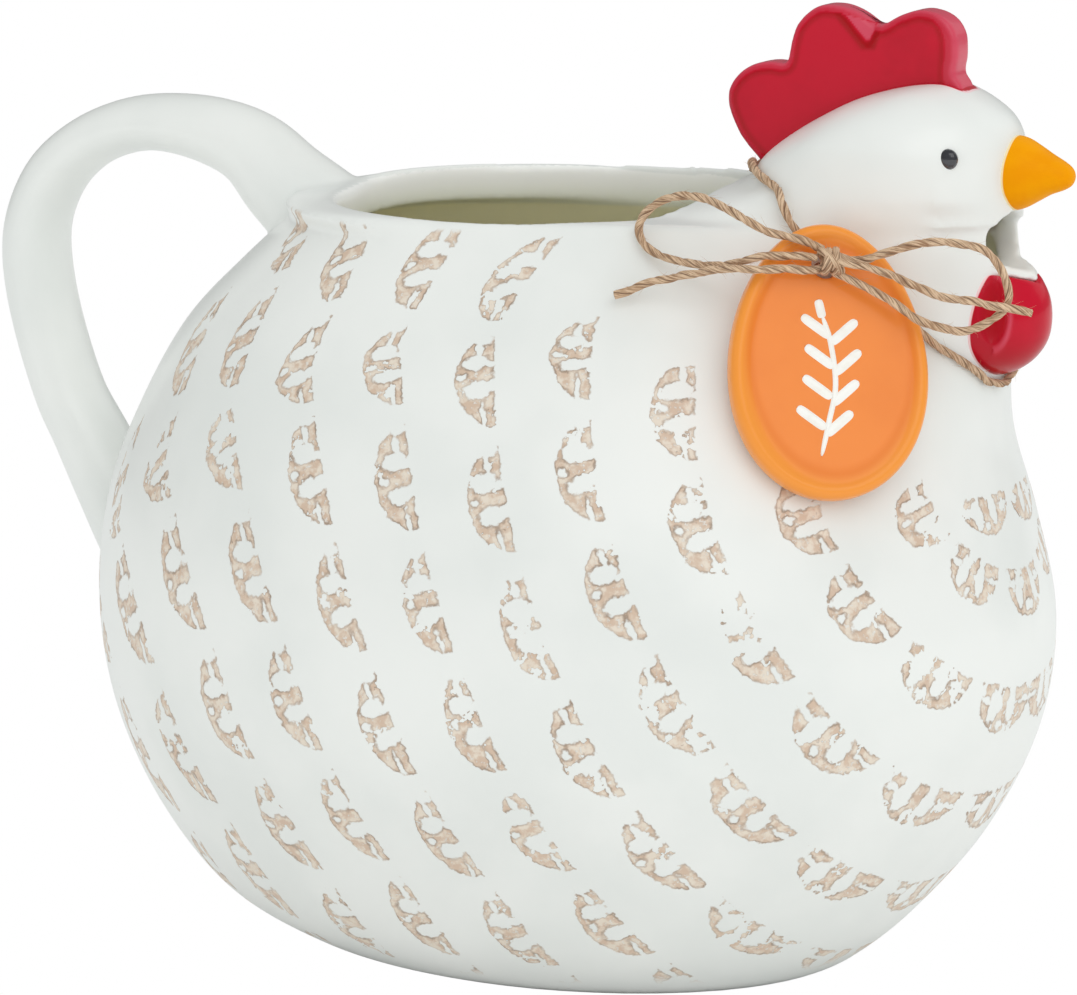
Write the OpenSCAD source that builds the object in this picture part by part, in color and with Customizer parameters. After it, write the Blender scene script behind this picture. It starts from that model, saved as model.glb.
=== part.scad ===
/* [Body] */
// Length of the hollow body, from tail to breast
body_l = 224; // [160:1:280]
// Width of the hollow body
body_w = 180; // [140:1:220]
// Height of the mouth's rim above the table, at the tail
rim_h = 165; // [120:1:210]
// Thickness of the stoneware wall
wall = 5; // [3:0.5:8]
// Thickness of the floor over the foot
floor_t = 8; // [6:0.5:12]

/* [Mouth and spout] */
// Length of the mouth opening, from tail to nape
mouth_l = 99; // [90:1:102]
// Width of the mouth opening
mouth_w = 97; // [70:1:100]
// Distance from the foot's centre back to the mouth's centre
mouth_back = 20.5; // [19:0.5:23]
// Width of the pouring hole in the throat
spout_w = 17; // [10:0.5:20]
// Height of the pouring hole in the throat
spout_h = 12; // [8:0.5:14]
// Height of the pouring hole's centre above the table
spout_at = 167; // [160:0.5:172]

/* [Neck and head] */
// Length of the neck, from nape to throat
neck_l = 62; // [54:1:70]
// Width of the neck
neck_w = 54; // [46:1:60]
// Height from the mouth's rim to the crown of the head
head_h = 35.6; // [30:0.2:44]

/* [Comb, beak, wattle and eyes] */
// Length of the comb over its three lobes
comb_l = 56; // [40:1:70]
// Height of the comb from its root at the nape to its top
comb_h = 34; // [26:1:44]
// Thickness of the comb
comb_t = 8; // [6:0.5:14]
// Reach of the beak in front of the neck's centre
beak_reach = 39.8; // [34:0.2:46]
// Width of the beak at its root
beak_w = 15; // [10:0.5:20]
// Height of the beak at its root
beak_h = 17; // [12:0.5:22]
// Reach of the wattle in front of the neck's centre
wattle_reach = 34.4; // [30:0.2:40]
// Width of the wattle
wattle_w = 27; // [18:0.5:34]
// Height of the wattle and the lip over it
wattle_h = 26; // [18:0.5:34]
// Diameter of an eye
eye_d = 4.4; // [3:0.2:7]

/* [Handle] */
// Thickness of the handle, across its bow
handle_t = 14; // [10:0.5:20]
// Width of the handle, side to side
handle_w = 20; // [14:0.5:28]

/* [Tag and twine] */
// Height of the egg-shaped tag
tag_h = 59.2; // [40:0.2:70]
// Width of the tag
tag_w = 43.2; // [30:0.2:54]
// Thickness of the tag at its rim
tag_t = 6; // [4:0.25:8]
// Width of the tag's raised rim
tag_rim_w = 3.2; // [2:0.2:5]
// Depth of the tag's face below its rim
tag_sunk = 0.8; // [0.4:0.1:1.5]
// Diameter of the hole that the twine goes through
tag_hole_d = 6; // [4:0.25:7]
// Distance from the tag's top edge to its hole
tag_hole_in = 8.8; // [7:0.2:12]
// Turn of the tag towards the breast, as it lies against the chest
tag_turn = 38; // [36:0.5:39]
// Lean of the tag, top towards the neck
tag_lean = 16; // [12:1:20]
// Diameter of the jute twine
twine_d = 2; // [1.5:0.1:2.5]
// Diameter of the knot
knot_d = 6.5; // [5:0.25:8]

/* [Hidden] */
// Points around one ring of the skin, and rings between two rows of a table
ring_points = 40;
ring_steps = 2;
// Points around a ring of the handle, the beak or the wattle, and rings between two rows
small_points = 16;
small_steps = 2;
// How deep the mouth's cut goes below the rim, as a share of the wall
mouth_depth_share = 3;
// Reach of a cut past the surface that it opens
overrun = 1;

// Each row is a level of the skin: height, tail, widest place, breast, half width and pinch. The
// height is a share of rim_h, the next three of body_l from the foot's centre, the fifth of body_w.
// The pinch is the share by which the ring narrows towards the breast, as it does along a neck.
body_shares = [
    [0.000, -0.285, -0.037, 0.210, 0.242, 0.00],
    [0.022, -0.350, -0.045, 0.243, 0.291, 0.00],
    [0.085, -0.433, -0.063, 0.298, 0.360, 0.00],
    [0.200, -0.498, -0.075, 0.370, 0.430, 0.00],
    [0.340, -0.540, -0.071, 0.420, 0.490, 0.00],
    [0.485, -0.556, -0.068, 0.434, 0.500, 0.00],
    [0.625, -0.543, -0.073, 0.415, 0.486, 0.04],
    [0.745, -0.508, -0.080, 0.394, 0.450, 0.10],
    [0.855, -0.461, -0.080, 0.398, 0.403, 0.20],
    [0.940, -0.400, -0.074, 0.407, 0.357, 0.29],
    [1.000, -0.350, -0.065, 0.413, 0.320, 0.34]
];

// The roof over the mouth, the neck and the head, in the same order. The height is a share of
// head_h above the rim, the next three of neck_l from the neck's centre, the fifth of neck_w.
head_shares = [
    [0.149, -2.214, -1.479, 0.430, 1.000, 0.31],
    [0.169, -1.064, -0.487, 0.432, 0.629, 0.02],
    [0.205, -0.834, -0.479, 0.434, 0.564, 0.01],
    [0.313, -0.662, -0.173, 0.434, 0.549, 0.03],
    [0.365, -0.566, -0.074, 0.432, 0.505, 0.00],
    [0.520, -0.490, -0.060, 0.436, 0.490, 0.00],
    [0.660, -0.384, -0.022, 0.433, 0.444, 0.00],
    [0.787, -0.260, 0.019, 0.400, 0.380, 0.00],
    [0.888, -0.139, 0.067, 0.330, 0.296, 0.00],
    [0.961, 0.000, 0.110, 0.255, 0.194, 0.00],
    [1.000, 0.120, 0.160, 0.210, 0.074, 0.00]
];

// The handle's centre line from the rim down to the tail, then its thickness and its width.
// The first two are shares of body_l and rim_h, the others of handle_t and handle_w.
handle_shares = [
    [-0.300, 0.940, 1.70, 1.45],
    [-0.345, 0.985, 1.60, 1.32],
    [-0.383, 1.024, 1.44, 1.20],
    [-0.420, 1.068, 1.24, 1.06],
    [-0.467, 1.091, 1.10, 1.00],
    [-0.522, 1.099, 0.95, 1.00],
    [-0.568, 1.090, 0.90, 1.00],
    [-0.613, 1.063, 0.90, 1.00],
    [-0.650, 1.018, 0.96, 1.00],
    [-0.672, 0.956, 1.00, 1.00],
    [-0.675, 0.892, 1.06, 1.00],
    [-0.663, 0.808, 1.07, 1.00],
    [-0.639, 0.713, 1.09, 1.00],
    [-0.616, 0.657, 1.15, 1.02],
    [-0.586, 0.588, 1.28, 1.12],
    [-0.548, 0.515, 1.55, 1.30],
    [-0.510, 0.455, 1.75, 1.45]
];

// The comb's outline from its root at the nape, forward over the lobes and back inside the head.
// Shares of comb_l and comb_h from the rearmost point and the root.
comb_shares = [
    [0.13, 0.00], [0.05, 0.15], [0.00, 0.36], [0.03, 0.50], [0.10, 0.59], [0.18, 0.62],
    [0.25, 0.62], [0.27, 0.75], [0.30, 0.88], [0.38, 0.99], [0.47, 1.00], [0.55, 0.96],
    [0.64, 0.89], [0.73, 0.96], [0.82, 1.00], [0.91, 0.96], [0.96, 0.86], [0.97, 0.72],
    [0.96, 0.60], [0.99, 0.52], [0.99, 0.34], [0.70, 0.14], [0.40, -0.08], [0.22, -0.14]
];

// Layers that round the comb's edge: how far each is drawn in, and how thick it is, as shares of
// comb_t
comb_layer_shares = [[0.00, 0.40], [0.06, 0.70], [0.16, 0.90], [0.32, 1.00]];

// The beak's rings from its root to its tip: reach, centre height, half height and half width.
// Shares of beak_reach, head_h above the rim, beak_h and beak_w.
beak_shares = [
    [0.480, 0.475, 0.450, 0.46],
    [0.640, 0.466, 0.480, 0.49],
    [0.716, 0.469, 0.453, 0.47],
    [0.790, 0.470, 0.365, 0.40],
    [0.867, 0.469, 0.262, 0.31],
    [0.935, 0.465, 0.168, 0.21],
    [0.980, 0.465, 0.095, 0.12],
    [1.000, 0.465, 0.035, 0.05]
];

// The wattle's rings from below: height, front, and half width. Shares of wattle_h above its foot,
// of wattle_reach from the neck's centre and of wattle_w.
wattle_shares = [
    [0.00, 0.700, 0.14],
    [0.05, 0.800, 0.27],
    [0.15, 0.900, 0.40],
    [0.30, 0.975, 0.48],
    [0.48, 1.000, 0.49],
    [0.66, 0.985, 0.46],
    [0.82, 0.925, 0.41],
    [0.92, 0.865, 0.36],
    [1.00, 0.800, 0.30]
];
// Where the wattle's foot is, as a share of rim_h; its middle line, as a share of wattle_reach; and
// where its red ends and the lip begins, as a share of wattle_h
wattle_foot_share = 0.833;
wattle_root_share = 0.50;
lip_share = 0.79;
// Rise of the lip's lower edge to each side of the breast, in degrees
lip_rise = 16;
// The dent in each side of the wattle: its place forward, sideways and up, as shares of
// wattle_reach, wattle_w and wattle_h, and its half sizes as shares of wattle_w and wattle_h
dent_at_shares = [0.80, 0.56, 0.62];
dent_shares = [0.14, 0.13, 0.23];
// Where the comb starts behind the neck's centre and above the rim, as shares of neck_l and head_h
comb_back_share = 0.655;
comb_root_share = 0.48;
// An eye's place on the head: forward of the neck's centre as a share of neck_l, above the rim as
// a share of head_h, and how deep its middle lies as a share of eye_d
eye_fwd_share = 0.287;
eye_up_share = 0.590;
eye_sunk_share = 0.12;

// The tag's hole at the back of the tag: forward of the neck's centre, to the right side and up, as
// shares of neck_l, body_w and rim_h
tag_at_shares = [-0.0627, -0.1996, 0.9918];
// How much an egg narrows towards its top, and how far the tag hangs off plumb, in degrees
egg_taper = 0.10;
tag_roll = -1.0;
// Levels of the tag's edge from back to front: share of tag_t, and inset as a share of tag_t
tag_edge_shares = [[0.00, 0.20], [0.08, 0.07], [0.22, 0.00], [0.72, 0.00], [0.92, 0.08], [1.00, 0.24]];
// Clear space between the knot and the tag's rim, as a share of the knot
knot_gap_share = 0.06;
// Sides of a tube of twine
twine_sides = 8;
// The two strands in the tag's hole, as shares of the twine: their thickness, and how far they
// start behind the tag and stop short of the knot
stem_share = 1.3;
stem_back_share = 0.2;
stem_gap_share = 0.17;

// The sizes that the twine's routes below go with: the neck's centre, the width, the rim and the
// head's height
route_body = [66, 180, 165, 35.6];
// Routes of the twine, in real sizes. The neck loop's is its right half, from nape to throat.
neck_route = [
    [30, 0, 179], [32.3, -5, 181.2], [35.1, -12, 181.7], [40.4, -20, 180.6], [46.5, -25.5, 179],
    [48.5, -28, 178.5], [50.5, -30.5, 176.5], [52, -31.8, 174.5], [53.5, -32.6, 172.5], [55.8, -33, 170.2],
    [58, -32.1, 168.4], [61, -32, 165.5], [65.5, -31, 162], [69, -30, 159], [72.5, -28.5, 156.5],
    [77, -26, 153], [80.5, -23.5, 149], [83, -21, 146], [85.5, -17.5, 143.5], [87, -14.5, 141.5],
    [88.5, -10.5, 139], [89, -7.5, 137], [89.5, -3.5, 136], [90, 0, 135.5]
];
loop_rear_route = [
    [65.5, -42.5, 168.5], [62, -44.5, 170.5], [58, -46, 171.5], [54.5, -47.5, 172.5], [50.5, -49.5, 175],
    [45, -48, 177], [39.5, -46.5, 178.5], [33.5, -45, 178.5], [28.5, -44.5, 177], [24.5, -44, 174],
    [23, -44, 170.5], [25.5, -46, 167.5], [30.5, -47.5, 165.5], [39, -48.5, 164.5], [46, -50, 165],
    [51.5, -51.5, 166.5], [55, -50, 167.5], [58.5, -48.5, 167.5], [62, -46.5, 167.5], [65, -44.5, 167]
];
tail_rear_route = [
    [65.5, -43.5, 164.5], [63.5, -46.5, 164.5], [60.5, -49, 165], [57.5, -51.5, 165], [54.5, -53.5, 165],
    [50.5, -53.5, 165], [46.5, -53, 164.5], [43.5, -52.5, 164], [40, -52, 163], [37, -52, 162.5],
    [34, -52, 161.5], [31, -52, 161], [28, -52.5, 160], [25, -53, 158.5], [22, -54, 157.5]
];
loop_front_route = [
    [68.5, -41, 167], [71, -40.5, 166.5], [74, -39.5, 166.5], [76.5, -38, 167.5], [79.5, -36.5, 168.5],
    [82.5, -34.5, 169.5], [85.5, -32, 170], [88, -30, 170], [91, -28, 169.5], [95, -24.5, 168],
    [98, -22.5, 164], [99.5, -21.5, 159], [99, -22, 155.5], [96, -24.5, 152.5], [92.5, -29, 151],
    [88.5, -32.5, 152], [84.5, -36, 154], [80, -38, 157.5], [75, -40, 160.5], [71, -41.5, 162.5],
    [68, -42.5, 164]
];
tail_front_route = [
    [69, -44, 166.5], [72, -43.5, 166], [75, -42, 165.5], [78, -41, 164.5], [80.5, -39.5, 163.5],
    [83, -38, 162], [86, -36, 160.5], [88.5, -34, 159], [91.5, -31, 158], [94.5, -28.5, 157.5],
    [97, -26.5, 156.5], [99.5, -24.5, 156], [101.5, -23, 155.5], [103, -21.5, 155], [104.5, -20.5, 154.5]
];

// The neck's centre: its front goes on from the breast's
neck_x = body_shares[len(body_shares) - 1][3] * body_l - head_shares[0][3] * neck_l;

function level(r, h, l, x, z, w) = [z + r[0] * h, x + r[1] * l, x + r[2] * l, x + r[3] * l, r[4] * w, r[5]];
body_rows = [for (r = body_shares) level(r, rim_h, body_l, 0, 0, body_w)];
head_rows = [for (r = head_shares) level(r, head_h, neck_l, neck_x, rim_h, neck_w)];
crown_h = rim_h + head_h;

// A point on the smooth curve through four neighbouring rows, t of the way from b to c
function between(a, b, c, d, t) =
    b + (t / 2) * ((c - a) + t * ((2 * a - 5 * b + 4 * c - d) + t * (3 * (b - c) + d - a)));

// The rows with smooth steps put in between them
function smooth_rows(rows, steps) = [
    for (i = [0 : len(rows) - 2], s = [0 : steps - 1])
        between(rows[max(i - 1, 0)], rows[i], rows[i + 1], rows[min(i + 2, len(rows) - 1)], s / steps),
    rows[len(rows) - 1]
];

// The same for a closed outline
function smooth_loop(rows, steps) = [
    for (i = [0 : len(rows) - 1], s = [0 : steps - 1])
        let (n = len(rows))
        between(rows[(i + n - 1) % n], rows[i], rows[(i + 1) % n], rows[(i + 2) % n], s / steps)
];

// One level of the skin as a ring of points, an egg that a pinch narrows towards the breast
function ring(row, n) = [
    for (k = [0 : n - 1])
        let (
            a = 360 * k / n,
            reach = cos(a) > 0 ? row[3] - row[2] : row[2] - row[1],
            squeeze = 1 - row[5] * pow((1 + cos(a)) / 2, 2)
        )
        [row[2] + reach * cos(a), row[4] * sin(a) * squeeze, row[0]]
];

// A level of the skin moved inwards by the wall, between the floor and the crown
function inner_row(r) = [
    floor_t + r[0] * (crown_h - floor_t - wall) / crown_h,
    r[1] + wall,
    r[2],
    r[3] - wall,
    r[4] - wall,
    r[5]
];

skin_rows = smooth_rows(concat(body_rows, head_rows), ring_steps);
inner_count = len(skin_rows) - 1 - 2 * ring_steps;
inner_rows = [for (i = [0 : inner_count]) inner_row(skin_rows[i])];

// A closed solid through a stack of rings that all have the same number of points
module loft(rings) {
    n = len(rings[0]);
    m = len(rings);
    points = [for (r = rings) for (p = r) p];
    low = [[for (k = [0 : n - 1]) k]];
    top = [[for (k = [n - 1 : -1 : 0]) (m - 1) * n + k]];
    sides = [
        for (j = [0 : m - 2], k = [0 : n - 1])
            let (a = j * n + k, b = j * n + (k + 1) % n)
            each [[a, b + n, b], [a, a + n, b + n]]
    ];
    polyhedron(points, concat(low, top, sides), convexity = 6);
}

module skin_solid() {
    loft([for (r = skin_rows) ring(r, ring_points)]);
}

module hollow_solid() {
    loft([for (r = inner_rows) ring(r, ring_points)]);
}

// The bulge under the pouring hole: its top is the body's lip and the rest is the wattle
wattle_z = wattle_foot_share * rim_h;
wattle_root = neck_x + wattle_root_share * wattle_reach;
lip_z = wattle_z + lip_share * wattle_h;
module wattle_bulge() {
    rows = smooth_rows(wattle_shares, small_steps);
    loft([
        for (r = rows) [
            for (k = [0 : small_points - 1])
                let (a = 360 * k / small_points)
                [
                    wattle_root + (neck_x + r[1] * wattle_reach - wattle_root) * cos(a),
                    r[2] * wattle_w * sin(a),
                    wattle_z + r[0] * wattle_h
                ]
        ]
    ]);
}

// The space over the edge where the lip's glaze turns red, which rises to both sides
module above_lip() {
    translate([neck_x, 0, lip_z])
        intersection_for(side = [-1, 1])
            rotate([side * lip_rise, 0, 0])
                translate([0, -wattle_w, 0]) cube([2 * wattle_reach, 2 * wattle_w, wattle_h]);
}

module spout_cut() {
    translate([neck_x, 0, spout_at])
        rotate([0, 90, 0])
            scale([spout_h / spout_w, 1, 1])
                cylinder(h = neck_l, d = spout_w, $fn = 40);
}

module mouth_cut() {
    translate([-mouth_back, 0, rim_h - mouth_depth_share * wall])
        scale([mouth_l / mouth_w, 1, 1])
            cylinder(h = head_h + mouth_depth_share * wall, d = mouth_w, $fn = 72);
}

module body_shell() {
    color("whitesmoke") difference() {
        union() {
            skin_solid();
            intersection() {
                wattle_bulge();
                above_lip();
            }
        }
        hollow_solid();
        mouth_cut();
        spout_cut();
    }
}

function handle_centre(r) = [r[0] * body_l, 0, r[1] * rim_h];
module handle() {
    rows = smooth_rows(handle_shares, 2);
    m = len(rows);
    color("whitesmoke") difference() {
        loft([
            for (i = [m - 1 : -1 : 0])
                let (
                    c = handle_centre(rows[i]),
                    d = handle_centre(rows[max(i - 1, 0)]) - handle_centre(rows[min(i + 1, m - 1)]),
                    u = [d[2], 0, -d[0]] / norm(d)
                )
                [
                    for (k = [0 : small_points - 1])
                        let (a = 360 * k / small_points)
                        c + u * rows[i][2] * handle_t / 2 * cos(a) + [0, rows[i][3] * handle_w / 2 * sin(a), 0]
                ]
        ]);
        skin_solid();
        mouth_cut();
    }
}

comb_x = neck_x - comb_back_share * neck_l;
comb_z = rim_h + comb_root_share * head_h;
// A slab of the comb, drawn in from the outline by a margin, and as thick as asked
module comb_layer(margin, thickness) {
    outline = [for (p = smooth_loop(comb_shares, 2)) [p[0] * comb_l, p[1] * comb_h]];
    translate([comb_x, thickness / 2, comb_z])
        rotate([90, 0, 0])
            linear_extrude(thickness)
                offset(r = -margin)
                    polygon(outline);
}

module comb() {
    color("firebrick") difference() {
        for (c = comb_layer_shares) comb_layer(c[0] * comb_t, c[1] * comb_t);
        skin_solid();
    }
}

module beak() {
    rows = smooth_rows(beak_shares, small_steps);
    color("orange") difference() {
        loft([
            for (r = rows) [
                for (k = [0 : small_points - 1])
                    let (a = 360 * k / small_points)
                    [
                        neck_x + r[0] * beak_reach,
                        r[3] * beak_w * cos(a),
                        rim_h + r[1] * head_h + r[2] * beak_h * sin(a)
                    ]
            ]
        ]);
        skin_solid();
    }
}

dent_x = neck_x + dent_at_shares[0] * wattle_reach;
dent_z = wattle_z + dent_at_shares[2] * wattle_h;
module wattle() {
    color("crimson") difference() {
        wattle_bulge();
        skin_solid();
        above_lip();
        for (side = [-1, 1])
            translate([dent_x, side * dent_at_shares[1] * wattle_w, dent_z])
                scale([dent_shares[0] * wattle_w, dent_shares[1] * wattle_w, dent_shares[2] * wattle_h])
                    sphere(1, $fn = 20);
    }
}

eye_x = neck_x + eye_fwd_share * neck_l;
eye_z = rim_h + eye_up_share * head_h;
// The head's ring at the eyes' level, half way from this row to the next, to set an eye on it
eye_row_index = 5;
eye_row = (head_rows[eye_row_index] + head_rows[eye_row_index + 1]) / 2;
eye_y = eye_row[4] * sqrt(1 - pow((eye_x - eye_row[2]) / (eye_row[3] - eye_row[2]), 2));
module eye(side) {
    color("dimgray") difference() {
        translate([eye_x, side * (eye_y - eye_sunk_share * eye_d), eye_z]) sphere(d = eye_d, $fn = 16);
        skin_solid();
    }
}

module eye_right() {
    eye(-1);
}

module eye_left() {
    eye(1);
}

// Puts what is drawn around the hole, with the tag's front up, where the tag hangs on the chest
module at_tag() {
    place = [tag_at_shares[0] * neck_l, tag_at_shares[1] * body_w, tag_at_shares[2] * rim_h];
    lean = atan(tan(tag_lean) * (body_w / route_body[1]) / (rim_h / route_body[2]));
    translate([neck_x, 0, 0] + place) rotate([90 - lean, 0, tag_turn]) children();
}

// A level of the tag as a ring of points, drawn in from its outline by an inset
function egg_ring(inset, z) = [
    for (k = [0 : ring_points - 1])
        let (
            a = 360 * k / ring_points,
            x = (inset - tag_w / 2) * sin(a) * (1 - egg_taper * cos(a)),
            y = (tag_h / 2 - inset) * cos(a) + tag_hole_in - tag_h / 2
        )
        [cos(tag_roll) * x - sin(tag_roll) * y, sin(tag_roll) * x + cos(tag_roll) * y, z]
];

module egg_tag() {
    face = tag_t - tag_sunk;
    rings = [for (e = tag_edge_shares) egg_ring(e[1] * tag_t, e[0] * tag_t)];
    color("sandybrown") at_tag() difference() {
        loft(rings);
        loft([egg_ring(tag_rim_w, face), egg_ring(tag_rim_w - tag_sunk, tag_t + overrun)]);
        translate([0, 0, -overrun]) cylinder(h = tag_t + 2 * overrun, d = tag_hole_d, $fn = 32);
    }
}

// A route's point moved with the body: the neck carries it along, the body's width and rim carry
// what lies below the head, and the head's height carries what lies above the rim
function hung(p) =
    let (
        half_head = route_body[3] / 2,
        over = p[2] - route_body[2],
        low = min(max((half_head - over) / half_head, 0), 1)
    )
    [
        p[0] + neck_x - route_body[0],
        p[1] * (1 + (body_w / route_body[1] - 1) * low),
        over < 0 ? p[2] * rim_h / route_body[2] : rim_h + over * head_h / route_body[3]
    ];

// Rings of a tube along a route. The reference is a direction that the route never runs along.
function tube_rings(route, d, reference, closed) = [
    for (i = [0 : len(route) - 1])
        let (
            n = len(route),
            before = closed ? route[(i + n - 1) % n] : route[max(i - 1, 0)],
            after = closed ? route[(i + 1) % n] : route[min(i + 1, n - 1)],
            t = (after - before) / norm(after - before),
            u = cross(reference, t) / norm(cross(reference, t)),
            v = cross(t, u),
            turn = 360 / twine_sides
        )
        [for (k = [0 : twine_sides - 1]) route[i] + d / 2 * (cos(k * turn) * u + sin(k * turn) * v)]
];

module twine(route, reference) {
    color("tan") loft(tube_rings([for (p = route) hung(p)], twine_d, reference, false));
}

module twine_neck_loop() {
    n = len(neck_route);
    right = [for (p = neck_route) hung(p)];
    left = [for (i = [n - 2 : -1 : 1]) [right[i][0], -right[i][1], right[i][2]]];
    span = right[n - 1] - right[0];
    rings = tube_rings(concat(right, left), twine_d, cross(span, [0, 1, 0]), true);
    m = len(rings);
    faces = [
        for (j = [0 : m - 1], k = [0 : twine_sides - 1])
            let (
                next = (j + 1) % m,
                a = j * twine_sides + k,
                b = j * twine_sides + (k + 1) % twine_sides,
                c = next * twine_sides + k,
                e = next * twine_sides + (k + 1) % twine_sides
            )
            each [[a, e, b], [a, c, e]]
    ];
    color("tan") polyhedron([for (r = rings) for (p = r) p], faces, convexity = 6);
}

// Where the knot's middle lies in front of the tag's back
knot_z = tag_t + knot_d * (0.5 + knot_gap_share);

// The two strands that run through the tag's hole, from the neck loop to the knot
module twine_stem() {
    back = stem_back_share * twine_d;
    front = knot_z - knot_d / 2 - stem_gap_share * twine_d;
    color("peru") at_tag()
        translate([0, 0, -back])
            cylinder(h = front + back, d = stem_share * twine_d, $fn = 20);
}

module twine_knot() {
    color("peru") at_tag()
        translate([0, 0, knot_z])
            sphere(d = knot_d, $fn = 24);
}

module twine_loop_rear() {
    twine(loop_rear_route, [0, 1, 0]);
}

module twine_tail_rear() {
    twine(tail_rear_route, [0, 0, 1]);
}

module twine_loop_front() {
    twine(loop_front_route, [sin(tag_turn), -cos(tag_turn), 0]);
}

module twine_tail_front() {
    twine(tail_front_route, [0, 0, 1]);
}

body_shell();
handle();
comb();
beak();
wattle();
eye_right();
eye_left();
egg_tag();
twine_neck_loop();
twine_stem();
twine_knot();
twine_loop_rear();
twine_tail_rear();
twine_loop_front();
twine_tail_front();
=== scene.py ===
"""Full looks of the chicken pitcher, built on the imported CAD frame."""
import logging
import math
from dataclasses import dataclass, field
from enum import Enum

import bpy
import numpy as np
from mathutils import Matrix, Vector
from mathutils.bvhtree import BVHTree


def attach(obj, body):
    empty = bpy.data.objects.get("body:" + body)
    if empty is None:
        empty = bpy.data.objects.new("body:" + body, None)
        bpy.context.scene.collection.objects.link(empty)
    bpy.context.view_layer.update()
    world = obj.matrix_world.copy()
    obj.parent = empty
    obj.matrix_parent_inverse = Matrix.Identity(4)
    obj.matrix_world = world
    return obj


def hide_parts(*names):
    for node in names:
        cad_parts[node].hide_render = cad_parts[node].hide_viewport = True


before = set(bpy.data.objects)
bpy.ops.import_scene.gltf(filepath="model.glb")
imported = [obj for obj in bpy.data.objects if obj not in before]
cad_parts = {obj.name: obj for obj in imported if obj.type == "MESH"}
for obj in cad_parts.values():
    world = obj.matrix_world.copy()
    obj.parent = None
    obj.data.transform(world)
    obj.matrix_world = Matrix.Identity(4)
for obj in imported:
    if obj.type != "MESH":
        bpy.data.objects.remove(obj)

LOG = logging.getLogger("chicken_pitcher")
MM = 0.001

Socket = bpy.types.NodeSocket
Piece = bpy.types.Object
# What a shader's input takes: a number, a colour in hex, a vector or another node's output
Value = float | str | tuple | Socket
Table = tuple[tuple[float, ...], ...]


class Region(Enum):
    """Which way a stack of rings is closed."""

    CAPPED = "capped"
    ENDLESS = "endless"


class Carve(Enum):
    """What a tool does to the piece that it meets."""

    JOIN = "UNION"
    CUT = "DIFFERENCE"
    KEEP = "INTERSECT"


class Body(Enum):
    """The moving body that a piece rides on."""

    PITCHER = "pitcher"
    TAG = "tag"
    STRANDS = "tag_strands"


class Slot(Enum):
    """The finish slot of a piece."""

    WHITE = "glaze_white"
    RED = "glaze_red"
    YELLOW = "glaze_yellow"
    CHARCOAL = "glaze_charcoal"
    ORANGE = "glaze_orange"
    JUTE = "jute"


class FarEnd(Enum):
    """What is on the far end of a stretch of twine."""

    KNOT = "knot"
    BARE = "bare"


class Op(Enum):
    """A shader node: its type, its settings, its output and the inputs that a call fills in order."""

    PLUS = ("Math", {"operation": "ADD"})
    MINUS = ("Math", {"operation": "SUBTRACT"})
    TIMES = ("Math", {"operation": "MULTIPLY"})
    OVER = ("Math", {"operation": "DIVIDE"})
    LEAST = ("Math", {"operation": "MINIMUM"})
    MOST = ("Math", {"operation": "MAXIMUM"})
    SOFT_LEAST = ("Math", {"operation": "SMOOTH_MIN"})
    UNSIGNED = ("Math", {"operation": "ABSOLUTE"})
    ROOT = ("Math", {"operation": "SQRT"})
    WHOLE = ("Math", {"operation": "FLOOR"})
    BELOW = ("Math", {"operation": "LESS_THAN"})
    ABOVE = ("Math", {"operation": "GREATER_THAN"})
    # A value, where it starts and ends, and what it gives there
    SCALE = ("MapRange",)
    STEP = ("MapRange", {"interpolation_type": "SMOOTHSTEP"})
    # A factor and two colours
    BLEND = ("Mix", {"data_type": "RGBA", "clamp_factor": True}, 2, (0, 6, 7))
    # A place, features in a metre, octaves and roughness
    NOISE = ("TexNoise", {}, 0, (0, 2, 3, 4))
    DICE = ("TexWhiteNoise", {"noise_dimensions": "2D"})
    LOOKUP = ("ValToRGB",)
    PLACE = ("TexCoord", {}, "Object")
    STORED = ("Attribute", {}, "Fac")
    VECTOR = ("CombineXYZ",)
    AXES = ("SeparateXYZ",)
    CHANNELS = ("SeparateColor",)
    BUMP = ("Bump",)
    PRINCIPLED = ("BsdfPrincipled",)
    MATTE = ("BsdfDiffuse",)
    GLOW = ("Emission",)
    SKY = ("Background",)
    RAY = ("LightPath",)
    MIX = ("MixShader",)
    # These two end a tree and have no output
    SURFACE = ("OutputMaterial",)
    WORLD = ("OutputWorld",)

    def __init__(
        self, kind: str, settings: dict | None = None, out: int | str = 0, order: tuple[int, ...] = ()
    ) -> None:
        """Names the parts of a member.

        Args:
            kind: the node's type name without the ShaderNode prefix.
            settings: properties that it always has.
            out: its main output.
            order: the inputs in the order of a call, if that isn't the node's own.
        """
        self.kind, self.settings, self.out, self.order = kind, settings or {}, out, order


def linear(hex_code: str) -> tuple[float, float, float, float]:
    """Turns an sRGB hex colour into the linear colour that a socket takes.

    Args:
        hex_code: six hex digits.

    Returns:
        Linear red, green, blue and an alpha of 1.
    """
    parts = [int(hex_code[i : i + 2], 16) / 255 for i in (0, 2, 4)]
    lin = [p / 12.92 if p <= 0.04045 else ((p + 0.055) / 1.055) ** 2.4 for p in parts]
    return (lin[0], lin[1], lin[2], 1.0)


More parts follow.
